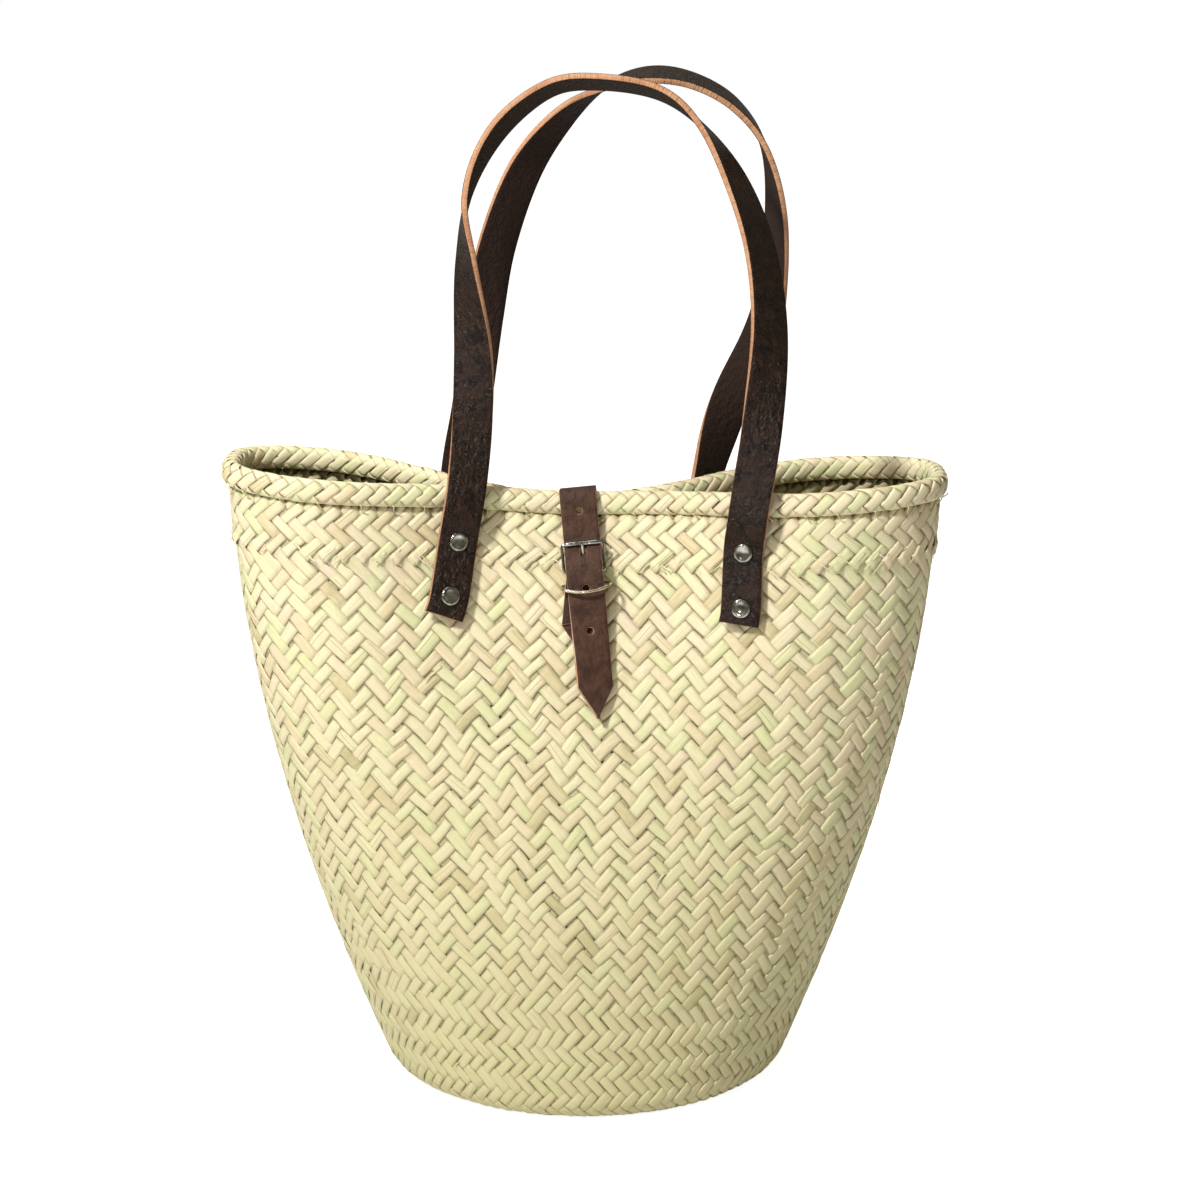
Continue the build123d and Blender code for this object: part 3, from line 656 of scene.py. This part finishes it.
# Loops, from left to right: x, y, z and the turn of the leather about its own line in degrees.
LOOPS = {
    "front": [
        (-70, -34, 425, -6), (-69, -31, 470, 22), (-73, -27, 525, 62), (-72, -24, 568, 96),
        (-53.5, -20.5, 606, 114), (-22, -17.5, 631.5, 112), (9.5, -16.5, 635.5, 110),
        (46, -18, 629, 106), (71, -22, 610, 90), (93, -28, 576, 62), (108, -37, 534, 46),
        (113.5, -46, 486, 30), (109.5, -54, 430, 4)],
    "back": [
        (-73, 19, 425, 0), (-64, 20, 487, 14), (-55, 19.5, 533, 24), (-37, 18.5, 580, 36),
        (-12, 17, 613, 60), (14, 16, 631, 90), (41, 15.5, 638, 104), (68, 16, 634, 103),
        (94, 17.5, 619, 99), (113, 20, 592, 88), (120.5, 23, 550, 66), (118, 27, 500, 46),
        (111, 30, 470, 30), (93, 33, 430, 4)],
}


def foot_points(which, hand):
    """A foot's points and turns: flat on the wall, then stepping out over the plait."""
    side = SIDES[which]
    twist = FOOT_TWIST.get((which, hand), 0)
    rows = []
    for x, z in FEET[which, hand]:
        over_rim = RIM_PROUD + RIM_GAP if z > rim_centre(x) - RIM_HEIGHT else 0
        level = min(z, float(rim_centre(x)))
        slope = (wall_depth(x + 1, level, side) - wall_depth(x - 1, level, side)) / 2
        turn = -math.atan(hand * slope)
        away = wall_depth(x, level, side) + (over_rim + WALL_GAP + STRAP_THICKNESS / 2) / math.cos(turn)
        rows.append((x, side * away, z, math.degrees(turn) + twist))
    return rows


class StrapLine:
    """One handle's line, with the directions of its grain side and of its width."""

    def __init__(self, which):
        self.side = SIDES[which]
        self.points = foot_points(which, LEFT) + LOOPS[which] + foot_points(which, RIGHT)[::-1]
        self.shares = np.linspace(0, 1, 1201)
        self.run = run_along(smooth_point(self.points, self.shares)[:, :3])

    def frame(self, share):
        here = smooth_point(self.points, share)
        ahead = smooth_point(self.points, np.minimum(share + 0.002, 1))
        behind = smooth_point(self.points, np.maximum(share - 0.002, 0))
        along = unit((ahead - behind)[:, :3])
        outward = np.tile([0.0, float(self.side), 0.0], (len(along), 1))
        flat = unit(outward - along * (outward * along).sum(1, keepdims=True))
        edge = unit(np.cross(along, [0.0, 1.0, 0.0]))
        turn = np.radians(here[:, 3:4])
        grain = unit(flat * np.cos(turn) + edge * np.sin(turn))
        return here[:, :3], grain, np.cross(grain, along)

    def place(self, flat, depth):
        origin, grain, across = self.frame(np.interp(flat[:, 1], self.run, self.shares))
        return origin + across * flat[:, :1] + grain * depth[:, None]

    def rivets(self):
        """Centre, outward direction and width direction at the two rivets of each foot."""
        last = len(self.points) - 1
        origin, grain, across = self.frame(np.array([1, 2, last - 2, last - 1]) / last)
        return list(zip(origin + grain * STRAP_THICKNESS / 2, grain, across))


def handle(which):
    line = StrapLine(which)
    grid = strap_grid(STRAP_WIDTH / 2, line.run[-1], step=3.5)
    obj = thick_sheet(f"{which}_handle_strap", grid, line.place, STRAP_THICKNESS)
    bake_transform(obj)
    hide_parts(*(f"{which}_handle_{part}" for part in ("loop", "foot_left", "foot_right")))
    return obj, line


# ======== closing strap and its buckle
HEEL_HEIGHT = 333.5         # height of the buckle's heel bar at mid front
LEAN = math.radians(5.5)    # the strap runs down to the right
CLOSURE_WIDTH, CLOSURE_THICKNESS = 23.0, 3.0
WIRE_RADIUS = 1.0
BAR_BORE = 1.3              # room round a wire held in folded leather
STRAP_ROOM = 1.2            # between the strap and the metal next to it
RIM_HUG = 0.4               # between the strap and the rims that it presses on
FRAME_HEIGHT, FRAME_HALF_WIDTH, RING_HALF_WIDTH = 18.0, 12.9, 15.4
TOP_BAR_RADIUS = 1.6
RING_BACK_RISE, RING_FRONT_RISE, RING_BOW = -7.0, -6.8, 3.2
CHAPE_LAYER, CHAPE_GAP, CHAPE_ASKEW = 2.2, 1.6, math.radians(11)
TAIL_TIP, TAIL_POINT, TAIL_TWIST = -87.0, 20.0, math.radians(20)
SPARE_HOLES, SPARE_HOLE_RADIUS = (37.5, -8.2, -34), 2.3     # heights above the heel bar
PRONG_HOLE, PRONG_HOLE_LENGTH = 12.2, 3.9                   # the hole that the tongue goes through
SIDE_WIDTH_WAY = np.array([math.cos(LEAN), 0.0, math.sin(LEAN)])
SIDE_UP_WAY = np.array([-math.sin(LEAN), 0.0, math.cos(LEAN)])


def wall_line(v):
    """Side view of the front wall's outer face at v above the heel bar."""
    return -wall_depth(0, HEEL_HEIGHT + v, -1)


def back_wall_line(v):
    return wall_depth(0, HEEL_HEIGHT + v, 1)


def from_side(points, across=0.0):
    """3-D points from side-view rows (depth y, height v) and a place across the strap."""
    points = np.atleast_2d(np.asarray(points, float))
    across = np.broadcast_to(across, len(points))
    return (np.array([0.0, 0.0, HEEL_HEIGHT]) + points[:, :1] * np.array([0.0, 1.0, 0.0])
            + points[:, 1:2] * SIDE_UP_WAY + across[:, None] * SIDE_WIDTH_WAY)


HALF_STRAP = CLOSURE_THICKNESS / 2
HEEL_BAR = (wall_line(0) - CHAPE_GAP - CHAPE_LAYER - BAR_BORE, 0.0)
STRAP_AT_HEEL = HEEL_BAR[0] - BAR_BORE - CHAPE_LAYER - STRAP_ROOM - HALF_STRAP
TOP_BAR = (STRAP_AT_HEEL + 8.0, FRAME_HEIGHT)
RING_BACK = (wall_line(-10) - CHAPE_GAP - CHAPE_LAYER - BAR_BORE, RING_BACK_RISE)
STRAP_AT_RING = RING_BACK[0] - BAR_BORE - CHAPE_LAYER - STRAP_ROOM - HALF_STRAP
RING_FRONT = (STRAP_AT_RING - HALF_STRAP - STRAP_ROOM - WIRE_RADIUS, RING_FRONT_RISE)


def rounded_line(points, radius, step=1.0):
    """Side-view line with its corners rounded, as evenly spaced points."""
    points = [np.array(p, float) for p in points]
    line = [points[0]]
    for before, corner, after in zip(points, points[1:], points[2:]):
        back, ahead = unit(before - corner), unit(after - corner)
        half = math.acos(max(-1.0, min(1.0, float(back @ ahead)))) / 2
        cut = min(radius / math.tan(half), 0.48 * np.linalg.norm(before - corner),
                  0.48 * np.linalg.norm(after - corner))
        for t in np.linspace(0, 1, 7):
            line.append((1 - t)**2 * (corner + back * cut) + 2 * t * (1 - t) * corner
                        + t**2 * (corner + ahead * cut))
    line = np.array(line + [points[-1]])
    run = run_along(line)
    even = np.linspace(0, run[-1], int(run[-1] / step) + 1)
    return read_off(even, run, line), even


class SideSheet:
    """Places a strap's flat mesh along a side-view line. Below v 0, askew leans it sideways and
    twist turns it to face right, growing down to v -60."""

    def __init__(self, points, radius, askew=0.0, twist=0.0):
        self.line, self.run = rounded_line(points, radius)
        self.askew = askew
        self.twist = twist

    def place(self, flat, depth):
        here, before, after = (read_off(flat[:, 1] + step, self.run, self.line) for step in (0, -1.5, 1.5))
        along = unit(after - before)
        normal = np.stack([along[:, 1], -along[:, 0]], 1)
        turn = self.twist * ease(-here[:, 1] / 60) * (normal[:, 0] < 0)
        across = flat[:, 0] * np.cos(turn) + depth * np.sin(turn)
        here = here + normal * (depth * np.cos(turn) - flat[:, 0] * np.sin(turn))[:, None]
        return from_side(here, across + math.tan(self.askew) * np.minimum(here[:, 1], 0))

    def run_at_height(self, v, front=True):
        """Length along the line where it passes height v, on its front or its back side."""
        above = self.line[:, 1] - v
        passes = np.nonzero(above[:-1] * above[1:] <= 0)[0] + 1
        return self.run[passes[-1] if front else passes[0]]


def closure_strap():
    rim_top = RIM_MIDDLE + RIM_HEIGHT / 2 - HEEL_HEIGHT
    rim_back = back_wall_line(RIM_MIDDLE - HEEL_HEIGHT) + RIM_PROUD
    rim_front = wall_line(RIM_MIDDLE - HEEL_HEIGHT) - RIM_PROUD
    clear, hug = HALF_STRAP + WALL_GAP, HALF_STRAP + RIM_HUG
    sheet = SideSheet([
        (back_wall_line(-20) + clear, -20), (back_wall_line(20) + clear, 20),
        (rim_back + clear, rim_top - RIM_HEIGHT), (rim_back + hug, rim_top - BACK_DIP + hug),
        (rim_front - hug, rim_top - FRONT_DIP + hug), (rim_front - clear, rim_top - RIM_HEIGHT),
        (TOP_BAR[0] + WIRE_RADIUS + 2 * STRAP_ROOM + HALF_STRAP, FRAME_HEIGHT),
        (STRAP_AT_HEEL, 7), (STRAP_AT_RING, RING_BACK_RISE), (STRAP_AT_RING - 1.9, -15),
        (wall_line(-24) - 9.0, -24), (wall_line(-34) - 8.4, -34),
        (wall_line(-60) - 7.4, -60), (wall_line(TAIL_TIP) - 6.0, TAIL_TIP)], 5.0, twist=TAIL_TWIST)
    holes = [(sheet.run_at_height(v), SPARE_HOLE_RADIUS, SPARE_HOLE_RADIUS) for v in SPARE_HOLES]
    holes.append((sheet.run_at_height(PRONG_HOLE), SPARE_HOLE_RADIUS, PRONG_HOLE_LENGTH))
    grid = strap_grid(CLOSURE_WIDTH / 2, sheet.run[-1], holes, TAIL_POINT, step=2.5)
    obj = thick_sheet("closure_strap_leather", grid, sheet.place, CLOSURE_THICKNESS, bevel=0.35)
    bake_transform(obj)
    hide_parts("closure_strap", "closure_strap_tail")
    return obj


def buckle_chape():
    """Leather tab folded over the heel bar and the keeper ring, askew behind the strap's tail."""
    back = CHAPE_GAP + CHAPE_LAYER / 2
    front = back + CHAPE_LAYER
    fold = BAR_BORE + CHAPE_LAYER / 2
    sheet = SideSheet([
        (wall_line(-30) - front, -30), (wall_line(-15) - front, -15),
        (RING_BACK[0] - fold, RING_BACK_RISE), (HEEL_BAR[0] - fold, 0), (HEEL_BAR[0] - fold, fold),
        (HEEL_BAR[0] + fold, fold), (wall_line(-8) - back, -8), (wall_line(-15) - back, -15),
        (wall_line(-46) - back, -46)], 2.2, askew=CHAPE_ASKEW)
    slot = (sheet.run_at_height(2.0, front=False), 2.0, 4.2)
    grid = strap_grid(CLOSURE_WIDTH / 2, sheet.run[-1], [slot], 16.0, step=2.0)
    obj = thick_sheet("chape_leather", grid, sheet.place, CHAPE_LAYER, bevel=0.35)
    return fix(obj, "basket", "buckle_chape")


def wire_loop(back, front, half_width, corner, bow=0.0, front_radius=WIRE_RADIUS):
    """Round wire bent to a rounded rectangle between a back and a front bar; bow curves the front."""
    back, front = np.array(back), np.array(front)
    middle, reach = (back + front) / 2, (front - back) / 2
    half_depth = np.linalg.norm(reach)
    reach = reach / half_depth
    corner = min(corner, half_depth * 0.98)
    line = []
    for x_sign, d_sign, first in ((1, 1, 0), (-1, 1, 90), (-1, -1, 180), (1, -1, 270)):
        for angle in np.radians(first + np.linspace(0, 90, 9)):
            line.append((x_sign * (half_width - corner) + corner * math.cos(angle),
                         d_sign * (half_depth - corner) + corner * math.sin(angle)))
    dense = []
    for a, b in zip(np.array(line), np.array(line[1:] + line[:1])):
        count = max(1, int(math.dist(a, b) / 1.2))
        dense += [a + (b - a) * i / count for i in range(count)]
    x, depth = np.array(dense).T
    on_front = depth > 0
    swell = bow * (1 - (x / half_width)**2) * on_front
    side = middle + depth[:, None] * reach + np.stack([-swell, -0.75 * swell], 1)
    thick = ease((half_width - corner + 0.5 - np.abs(x)) / 1.5) * on_front
    parts = Strips()
    radius = WIRE_RADIUS + (front_radius - WIRE_RADIUS) * thick
    tube(parts, from_side(side, x), radius, closed=True, points=14)
    return parts


def buckle_tongue():
    """An eye round the heel bar and a tapering arm whose bent tip rests on the top bar."""
    parts = Strips()
    angle = np.linspace(0, math.tau, 28, endpoint=False)
    eye = WIRE_RADIUS + 1.0
    tube(parts, from_side(np.stack([HEEL_BAR[0] + eye * np.cos(angle), eye * np.sin(angle)], 1)),
         0.95, closed=True, points=12)
    tip = (TOP_BAR[0] - TOP_BAR_RADIUS - 1.0, TOP_BAR[1] + 1.5)
    corners = [(HEEL_BAR[0], eye), (HEEL_BAR[0] + 0.2, 10), (tip[0] + 0.1, tip[1] - 3), tip]
    arm, run = rounded_line(corners, 4, 0.7)
    share = run / run[-1]
    radius = (1.15 - 0.2 * share) * np.sqrt(np.clip(1 - ((share - 0.94) / 0.07).clip(0)**2, 0.05, 1))
    tube(parts, from_side(arm), radius, points=12)
    return parts


# ======== rivets
# Cap profile, from its foot to its middle, as shares of the radius and of the height: a soft rim
# round a shallow dish.
CAP_PROFILE = [(1.0, 0.0), (1.0, 0.35), (0.95, 0.7), (0.86, 0.93), (0.74, 0.98), (0.6, 0.86),
               (0.45, 0.72), (0.25, 0.64), (0.02, 0.62)]
CAP_SIDES = 40


def rivet_caps(name, node, seats, radius, height):
    """Dished caps, each on a seat given by its centre, outward and sideways directions."""
    angle = np.linspace(0, math.tau, CAP_SIDES, endpoint=False)[:, None]
    r, h = np.array(CAP_PROFILE).T[:, :, None, None]
    parts = Strips()
    for centre, out, side in seats:
        ring = side * np.cos(angle) + np.cross(out, side) * np.sin(angle)
        parts.add(centre + ring * r * radius + out * h * height)
    return fix(parts.build(name), "basket", node)


def closure_seats():
    """Seats of the rivet through the chape and of the one at the strap's back end."""
    seats = []
    for depth_line, v, side, away in ((wall_line, -22.5, -1, CHAPE_GAP + 2 * CHAPE_LAYER),
                                      (back_wall_line, -8.0, 1, WALL_GAP + CLOSURE_THICKNESS)):
        slope = math.atan((depth_line(v + 5) - depth_line(v - 5)) / 10)
        out = side * np.array([0.0, math.cos(slope), -math.sin(slope)])
        seats.append((from_side([(depth_line(v) + side * away, v)])[0], out, SIDE_WIDTH_WAY))
    return seats


# ======== materials
class Nodes:
    """Short helper for building the node tree of a material or a world."""

    def __init__(self, owner, shader="Principled BSDF"):
        owner.use_nodes = True
        self.owner, self.tree = owner, owner.node_tree
        self.shader = self.tree.nodes[shader]

    def feed(self, socket, value):
        if isinstance(value, (int, float)):
            socket.default_value = value
        elif isinstance(value, (tuple, list)):
            socket.default_value = value if len(value) == len(socket.default_value) else (*value, 1)
        else:
            self.tree.links.new(value, socket)

    def new(self, kind, inputs=(), output=0, **settings):
        """Adds a node, sets it up, feeds its inputs (by number or name) and returns an output."""
        node = self.tree.nodes.new("ShaderNode" + kind)
        for name, value in settings.items():
            setattr(node, name, value)
        for key, value in inputs.items() if isinstance(inputs, dict) else enumerate(inputs):
            self.feed(node.inputs[key], value)
        return node.outputs[output]

    def attribute(self, name):
        return self.new("Attribute", output="Fac", attribute_name=name)

    def math(self, operation, *values):
        return self.new("Math", values, operation=operation)

    def times(self, a, b):
        return self.math("MULTIPLY", a, b)

    def vector(self, x, y, z=0.0):
        return self.new("CombineXYZ", (x, y, z))

    def place(self):
        return self.new("TexCoord", output="Object")

    def part(self, vector, axis):
        return self.new("SeparateXYZ", (vector,), axis)

    def noise(self, vector, scale, detail=3.0, rough=0.55):
        inputs = {"Vector": vector, "Scale": scale, "Detail": detail, "Roughness": rough}
        return self.new("TexNoise", inputs, "Fac")

    def ramp(self, value, stops):
        node = self.tree.nodes.new("ShaderNodeValToRGB")
        elements = node.color_ramp.elements
        while len(elements) < len(stops):
            elements.new(0.5)
        for element, (position, colour) in zip(elements, stops):
            element.position = position
            element.color = (*colour, 1)
        self.feed(node.inputs[0], value)
        return node.outputs[0]

    def span(self, value, low, high, to_low=0.0, to_high=1.0):
        return self.new("MapRange", (value, low, high, to_low, to_high))

    def mix(self, share, a, b, blend="MIX"):
        inputs = {"Factor": share, "A": a, "B": b}
        return self.new("Mix", inputs, "Result", data_type="RGBA", blend_type=blend)

    def bump(self, height, strength, distance):
        inputs = {"Height": height, "Strength": strength, "Distance": distance}
        self.feed(self.shader.inputs["Normal"], self.new("Bump", inputs))

    def finish(self, colour, roughness, metallic=0.0, specular=0.5):
        for name, value in (("Base Color", colour), ("Roughness", roughness), ("Metallic", metallic),
                            ("Specular IOR Level", specular)):
            self.feed(self.shader.inputs[name], value)
        return self.owner


LEAF_COLOURS = [
    (0.0, (0.30, 0.26, 0.13)), (0.14, (0.48, 0.42, 0.23)), (0.28, (0.67, 0.56, 0.34)),
    (0.40, (0.75, 0.63, 0.43)), (0.50, (0.77, 0.69, 0.46)), (0.60, (0.73, 0.69, 0.43)),
    (0.70, (0.66, 0.66, 0.37)), (0.82, (0.77, 0.62, 0.46)), (1.0, (0.58, 0.60, 0.32))]
LEAF_RUN, LEAF_STREAKS = 0.045, 7.0     # streak frequencies along (per mm) and across a leaf


def leaf_material(name, shade=1.0):
    """Dried palm leaf: a colour for each float, fine streaks along it, and painted shade: darker strip
    edges, splits and tucked ends, a dark groove under the rim's plait and a darker, more olive bottom.
    """
    n = Nodes(bpy.data.materials.new(name))
    across, along, seed, dip = (n.attribute(key) for key in ("across", "along", "seed", "dip"))
    streaks = n.noise(n.vector(n.times(across, LEAF_STREAKS), n.times(along, LEAF_RUN), seed), 1.0, 4.0, 0.6)
    patches = n.noise(n.vector(across, n.times(along, 0.06), seed), 1.0, 2.0)
    shift = n.math("MULTIPLY_ADD", n.math("SUBTRACT", patches, 0.5), 1.6, n.attribute("tone"))
    colour = n.ramp(n.span(shift, -3.2, 3.2), LEAF_COLOURS)
    light = n.span(streaks, 0.3, 0.7, 0.84 * shade, 1.08 * shade)
    colour = n.mix(1.0, colour, n.vector(light, light, n.times(light, 0.97)), "MULTIPLY")
    # Painted shade: strip edges, the dark line of a lengthwise split and the ends of floats where they go
    # under (dip) are darkened towards a dark brown, as shade falls between and under the strips.
    border = n.math("POWER", n.math("ABSOLUTE", across), 5.0)
    from_split = n.math("ABSOLUTE", n.math("SUBTRACT", across, n.attribute("split")))
    split = n.span(from_split, 0.02, 0.10, 0.6, 0.0)
    tucked = n.math("MAXIMUM", n.times(border, 0.13), n.times(dip, 0.5))
    colour = n.mix(n.math("MAXIMUM", tucked, split), colour, (0.24, 0.20, 0.08))
    colour = n.mix(n.span(dip, 1.0, 2.0, 0.0, 0.85), colour, (0.05, 0.04, 0.015))      # painted shadow in the groove under the rim's plait
    low = n.span(n.part(n.place(), 2), 0.0, 0.32, 0.75, 0.0)       # painted shade: darker and more olive towards the bottom (z in metres above the ground)
    colour = n.mix(low, colour, (0.46, 0.42, 0.21))
    n.bump(streaks, 0.35, 0.0005)
    return n.finish(colour, n.span(streaks, 0.3, 0.7, 0.62, 0.48), specular=0.35)


def leather_material(name, face, face_dark, flesh, gloss, crease, specular,
                     border=(0.10, 0.04, 0.022), pale=(0.58, 0.32, 0.18)):
    """Veg-tanned strap: grain and flesh faces, raw tan edges with a dark waxed border."""
    n = Nodes(bpy.data.materials.new(name))
    across, along, depth, edge = (n.attribute(key) for key in ("across", "along", "depth", "edge"))
    strap = n.vector(across, along)
    mottle = n.noise(strap, 0.11, 5.0, 0.62)
    pebble = n.new("TexVoronoi", {"Vector": n.vector(across, along, depth), "Scale": 1.15}, "Distance")
    creases = n.noise(n.vector(n.times(across, 0.12), n.times(along, 0.55), 3.0), 1.0, 4.0, 0.65)
    crinkle = n.noise(n.vector(across, n.times(along, 0.7), 7.0), 0.30, 3.0, 0.6)
    grain = n.mix(n.span(mottle, 0.35, 0.65), face_dark, face)
    worn = n.span(n.noise(strap, 0.5, 5.0, 0.7), 0.60, 0.75, 0.0, 0.35)
    grain = n.mix(worn, grain, tuple(1.9 * c for c in face))
    fibres = n.noise(strap, 1.6, 4.0, 0.7)
    back = n.mix(n.span(fibres, 0.3, 0.7), tuple(0.6 * c for c in flesh), flesh)
    grain_side = n.math("GREATER_THAN", depth, 0.0)
    colour = n.mix(grain_side, back, grain)
    edge_noise = n.noise(n.vector(across, n.times(along, 0.12), depth), 0.6, 2.0)
    tan = n.mix(n.span(edge_noise, 0.3, 0.75), (0.42, 0.20, 0.10), pale)
    tan = n.mix(n.span(n.math("ABSOLUTE", depth), 0.72, 0.9), tan, border)
    colour = n.mix(n.span(edge, 0.45, 0.75), colour, tan)
    height = n.math("ADD", n.math("ADD", n.times(pebble, 0.4), creases), n.times(crinkle, 3.0))
    n.bump(height, crease, 0.0010)
    polished = n.times(n.span(mottle, 0.3, 0.7, gloss, gloss + 0.22), grain_side)
    rough = n.math("MAXIMUM", polished, n.span(grain_side, 0.0, 1.0, 0.82, 0.0))
    return n.finish(colour, n.math("MAXIMUM", rough, n.times(edge, 0.6)), specular=specular)


def metal_material(name, bright, dull_and_dark_reflection, rough):
    """Plated wire or cap: faint scratches, and patches of a duller film whose dark colour is partly painted
    reflection of dark surroundings.
    """
    n = Nodes(bpy.data.materials.new(name))
    place = n.place()
    film_and_reflection_patches = n.noise(place, 240.0, 4.0, 0.6)
    scratches = n.noise(n.vector(n.part(place, 0), n.times(n.part(place, 2), 9.0)), 900.0, 2.0)
    n.bump(scratches, 0.12, 0.0001)
    # Painted reflection: the dark patch colour stands partly for a dull film and partly for dark
    # surroundings seen in the metal.
    colour = n.mix(n.span(film_and_reflection_patches, 0.35, 0.7), dull_and_dark_reflection, bright)
    return n.finish(colour, n.span(film_and_reflection_patches, 0.3, 0.7, rough + 0.16, rough), metallic=1.0)


def paint(objects, material):
    for obj in objects:
        obj.data.materials.clear()
        obj.data.materials.append(material)


# ======== the basket, piece by piece
rim_line = RimLine()
walls = woven_wall()
fringe = frayed_ends()
floor_weave = woven_base()
plait = fix(rim_plait(rim_line), "basket", "rim_braid")
stitches = fix(rim_stitches(rim_line), "basket", "rim_stitching")
for piece in walls + [fringe, floor_weave]:
    fix(piece, "basket", "woven_body")

front_strap, front_line = handle("front")
back_strap, back_line = handle("back")
handle_caps = rivet_caps(
    "handle_rivet_domes", "handle_rivet_caps", front_line.rivets() + back_line.rivets(), 6.1, 1.8)
closure = closure_strap()
chape = buckle_chape()
chape_seat, back_seat = closure_seats()
chape_cap = rivet_caps("chape_rivet_dome", "chape_rivet_cap", [chape_seat], 3.5, 1.0)
back_cap = rivet_caps("closure_rivet_dome", "closure_strap_rivet_cap", [back_seat], 6.0, 1.8)
frame_wire = wire_loop(HEEL_BAR, TOP_BAR, FRAME_HALF_WIDTH, 2.2, front_radius=TOP_BAR_RADIUS)
frame_wire = fix(frame_wire.build("buckle_frame_wire"), "buckle", "buckle_frame")
ring_wire = wire_loop(RING_BACK, RING_FRONT, RING_HALF_WIDTH, 4.0, bow=RING_BOW)
ring_wire = fix(ring_wire.build("keeper_ring_wire"), "keeper", "keeper_ring")
tongue = fix(buckle_tongue().build("buckle_tongue_wire"), "tongue", "buckle_tongue")

paint(walls + [fringe], leaf_material("palm_leaf_wall"))
paint([floor_weave], leaf_material("palm_leaf_base", 0.9))
paint([plait], leaf_material("palm_leaf_rim", 1.02))
paint([stitches], leaf_material("palm_cord_stitch", 0.95))
paint([front_strap, back_strap], leather_material(
    "handle_leather", (0.027, 0.011, 0.005), (0.006, 0.003, 0.002), (0.030, 0.015, 0.010), 0.15, 0.8, 0.20))
paint([closure, chape], leather_material(
    "closure_leather", (0.085, 0.040, 0.024), (0.042, 0.018, 0.011), (0.06, 0.03, 0.02), 0.50, 0.45, 0.22,
    border=(0.46, 0.27, 0.18), pale=(0.66, 0.44, 0.32)))
paint([frame_wire, tongue], metal_material("buckle_steel", (0.60, 0.59, 0.54), (0.12, 0.115, 0.09), 0.06))
paint([ring_wire], metal_material("ring_plate", (0.74, 0.68, 0.50), (0.36, 0.31, 0.21), 0.14))
paint([handle_caps, chape_cap, back_cap], metal_material(
    "rivet_plate", (0.66, 0.65, 0.58), (0.15, 0.14, 0.11), 0.06))
posts = [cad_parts[f"{place}_rivet_{part}"]
         for place in ("handle", "closure") for part in ("posts", "washers")]
paint(posts, metal_material("rivet_post_metal", (0.55, 0.53, 0.50), (0.30, 0.29, 0.27), 0.30))


# ======== stage, light and camera
WORLD_LIGHT = 0.22          # strength of the backdrop as light
FLOOR_GLOW = 0.88           # keeps the floor white to the camera without lighting the basket


def floor():
    size = 8.0
    corners = [(-size, -size, 0), (size, -size, 0), (size, size, 0), (-size, size, 0)]
    mesh = bpy.data.meshes.new("floor")
    mesh.from_pydata(corners, [], [(0, 1, 2, 3)])
    obj = bpy.data.objects.new("floor", mesh)
    bpy.context.scene.collection.objects.link(obj)
    n = Nodes(bpy.data.materials.new("floor_paint"))
    seen = n.new("LightPath", output="Is Camera Ray")
    n.feed(n.shader.inputs["Emission Color"], (1.0, 1.0, 1.0))
    n.feed(n.shader.inputs["Emission Strength"], n.times(seen, FLOOR_GLOW))
    pale = n.ramp(n.noise(n.place(), 3.0), [(0.0, (0.93, 0.93, 0.93)), (1.0, (0.96, 0.96, 0.96))])
    paint([obj], n.finish(pale, 0.9))
    from_below = n.new("NewGeometry", output="Backfacing")
    clear_below = n.new("MixShader", (from_below, n.shader.outputs[0], n.new("BsdfTransparent")))
    n.feed(n.tree.nodes["Material Output"].inputs["Surface"], clear_below)


def backdrop():
    """White to the camera; as light it is softer and a little warm."""
    world = bpy.data.worlds.new("studio")
    n = Nodes(world, "Background")
    seen = n.new("LightPath", output="Is Camera Ray")
    n.feed(n.shader.inputs[0], n.mix(seen, (1.0, 0.95, 0.78), (1.0, 1.0, 1.0)))
    n.feed(n.shader.inputs[1], n.span(seen, 0.0, 1.0, WORLD_LIGHT, 1.0))
    bpy.context.scene.world = world


def area_light(name, place, target, size, power):
    light = bpy.data.lights.new(name, "AREA")
    light.size = size
    light.energy = power
    obj = bpy.data.objects.new(name, light)
    obj.location = place
    obj.rotation_euler = (Vector(target) - Vector(place)).to_track_quat("-Z", "Y").to_euler()
    bpy.context.scene.collection.objects.link(obj)


def camera():
    data = bpy.data.cameras.new("camera")
    data.lens = 96.15
    data.sensor_width = 36.0
    obj = bpy.data.objects.new("camera", data)
    obj.location = (0.0095, -2.0, 0.768)
    obj.rotation_euler = (math.radians(77), 0, 0)
    bpy.context.scene.collection.objects.link(obj)
    bpy.context.scene.camera = obj


floor()
backdrop()
area_light("key", (-0.92, -1.12, 1.7), (0, 0, 0.36), 0.22, 44.5)
area_light("flash", (-0.35, -1.95, 1.15), (0, 0, 0.35), 0.15, 3)
area_light("top", (-0.3, 0.4, 2.2), (0, 0, 0.3), 1.2, 14)
camera()
bpy.context.scene.view_settings.view_transform = "Standard"
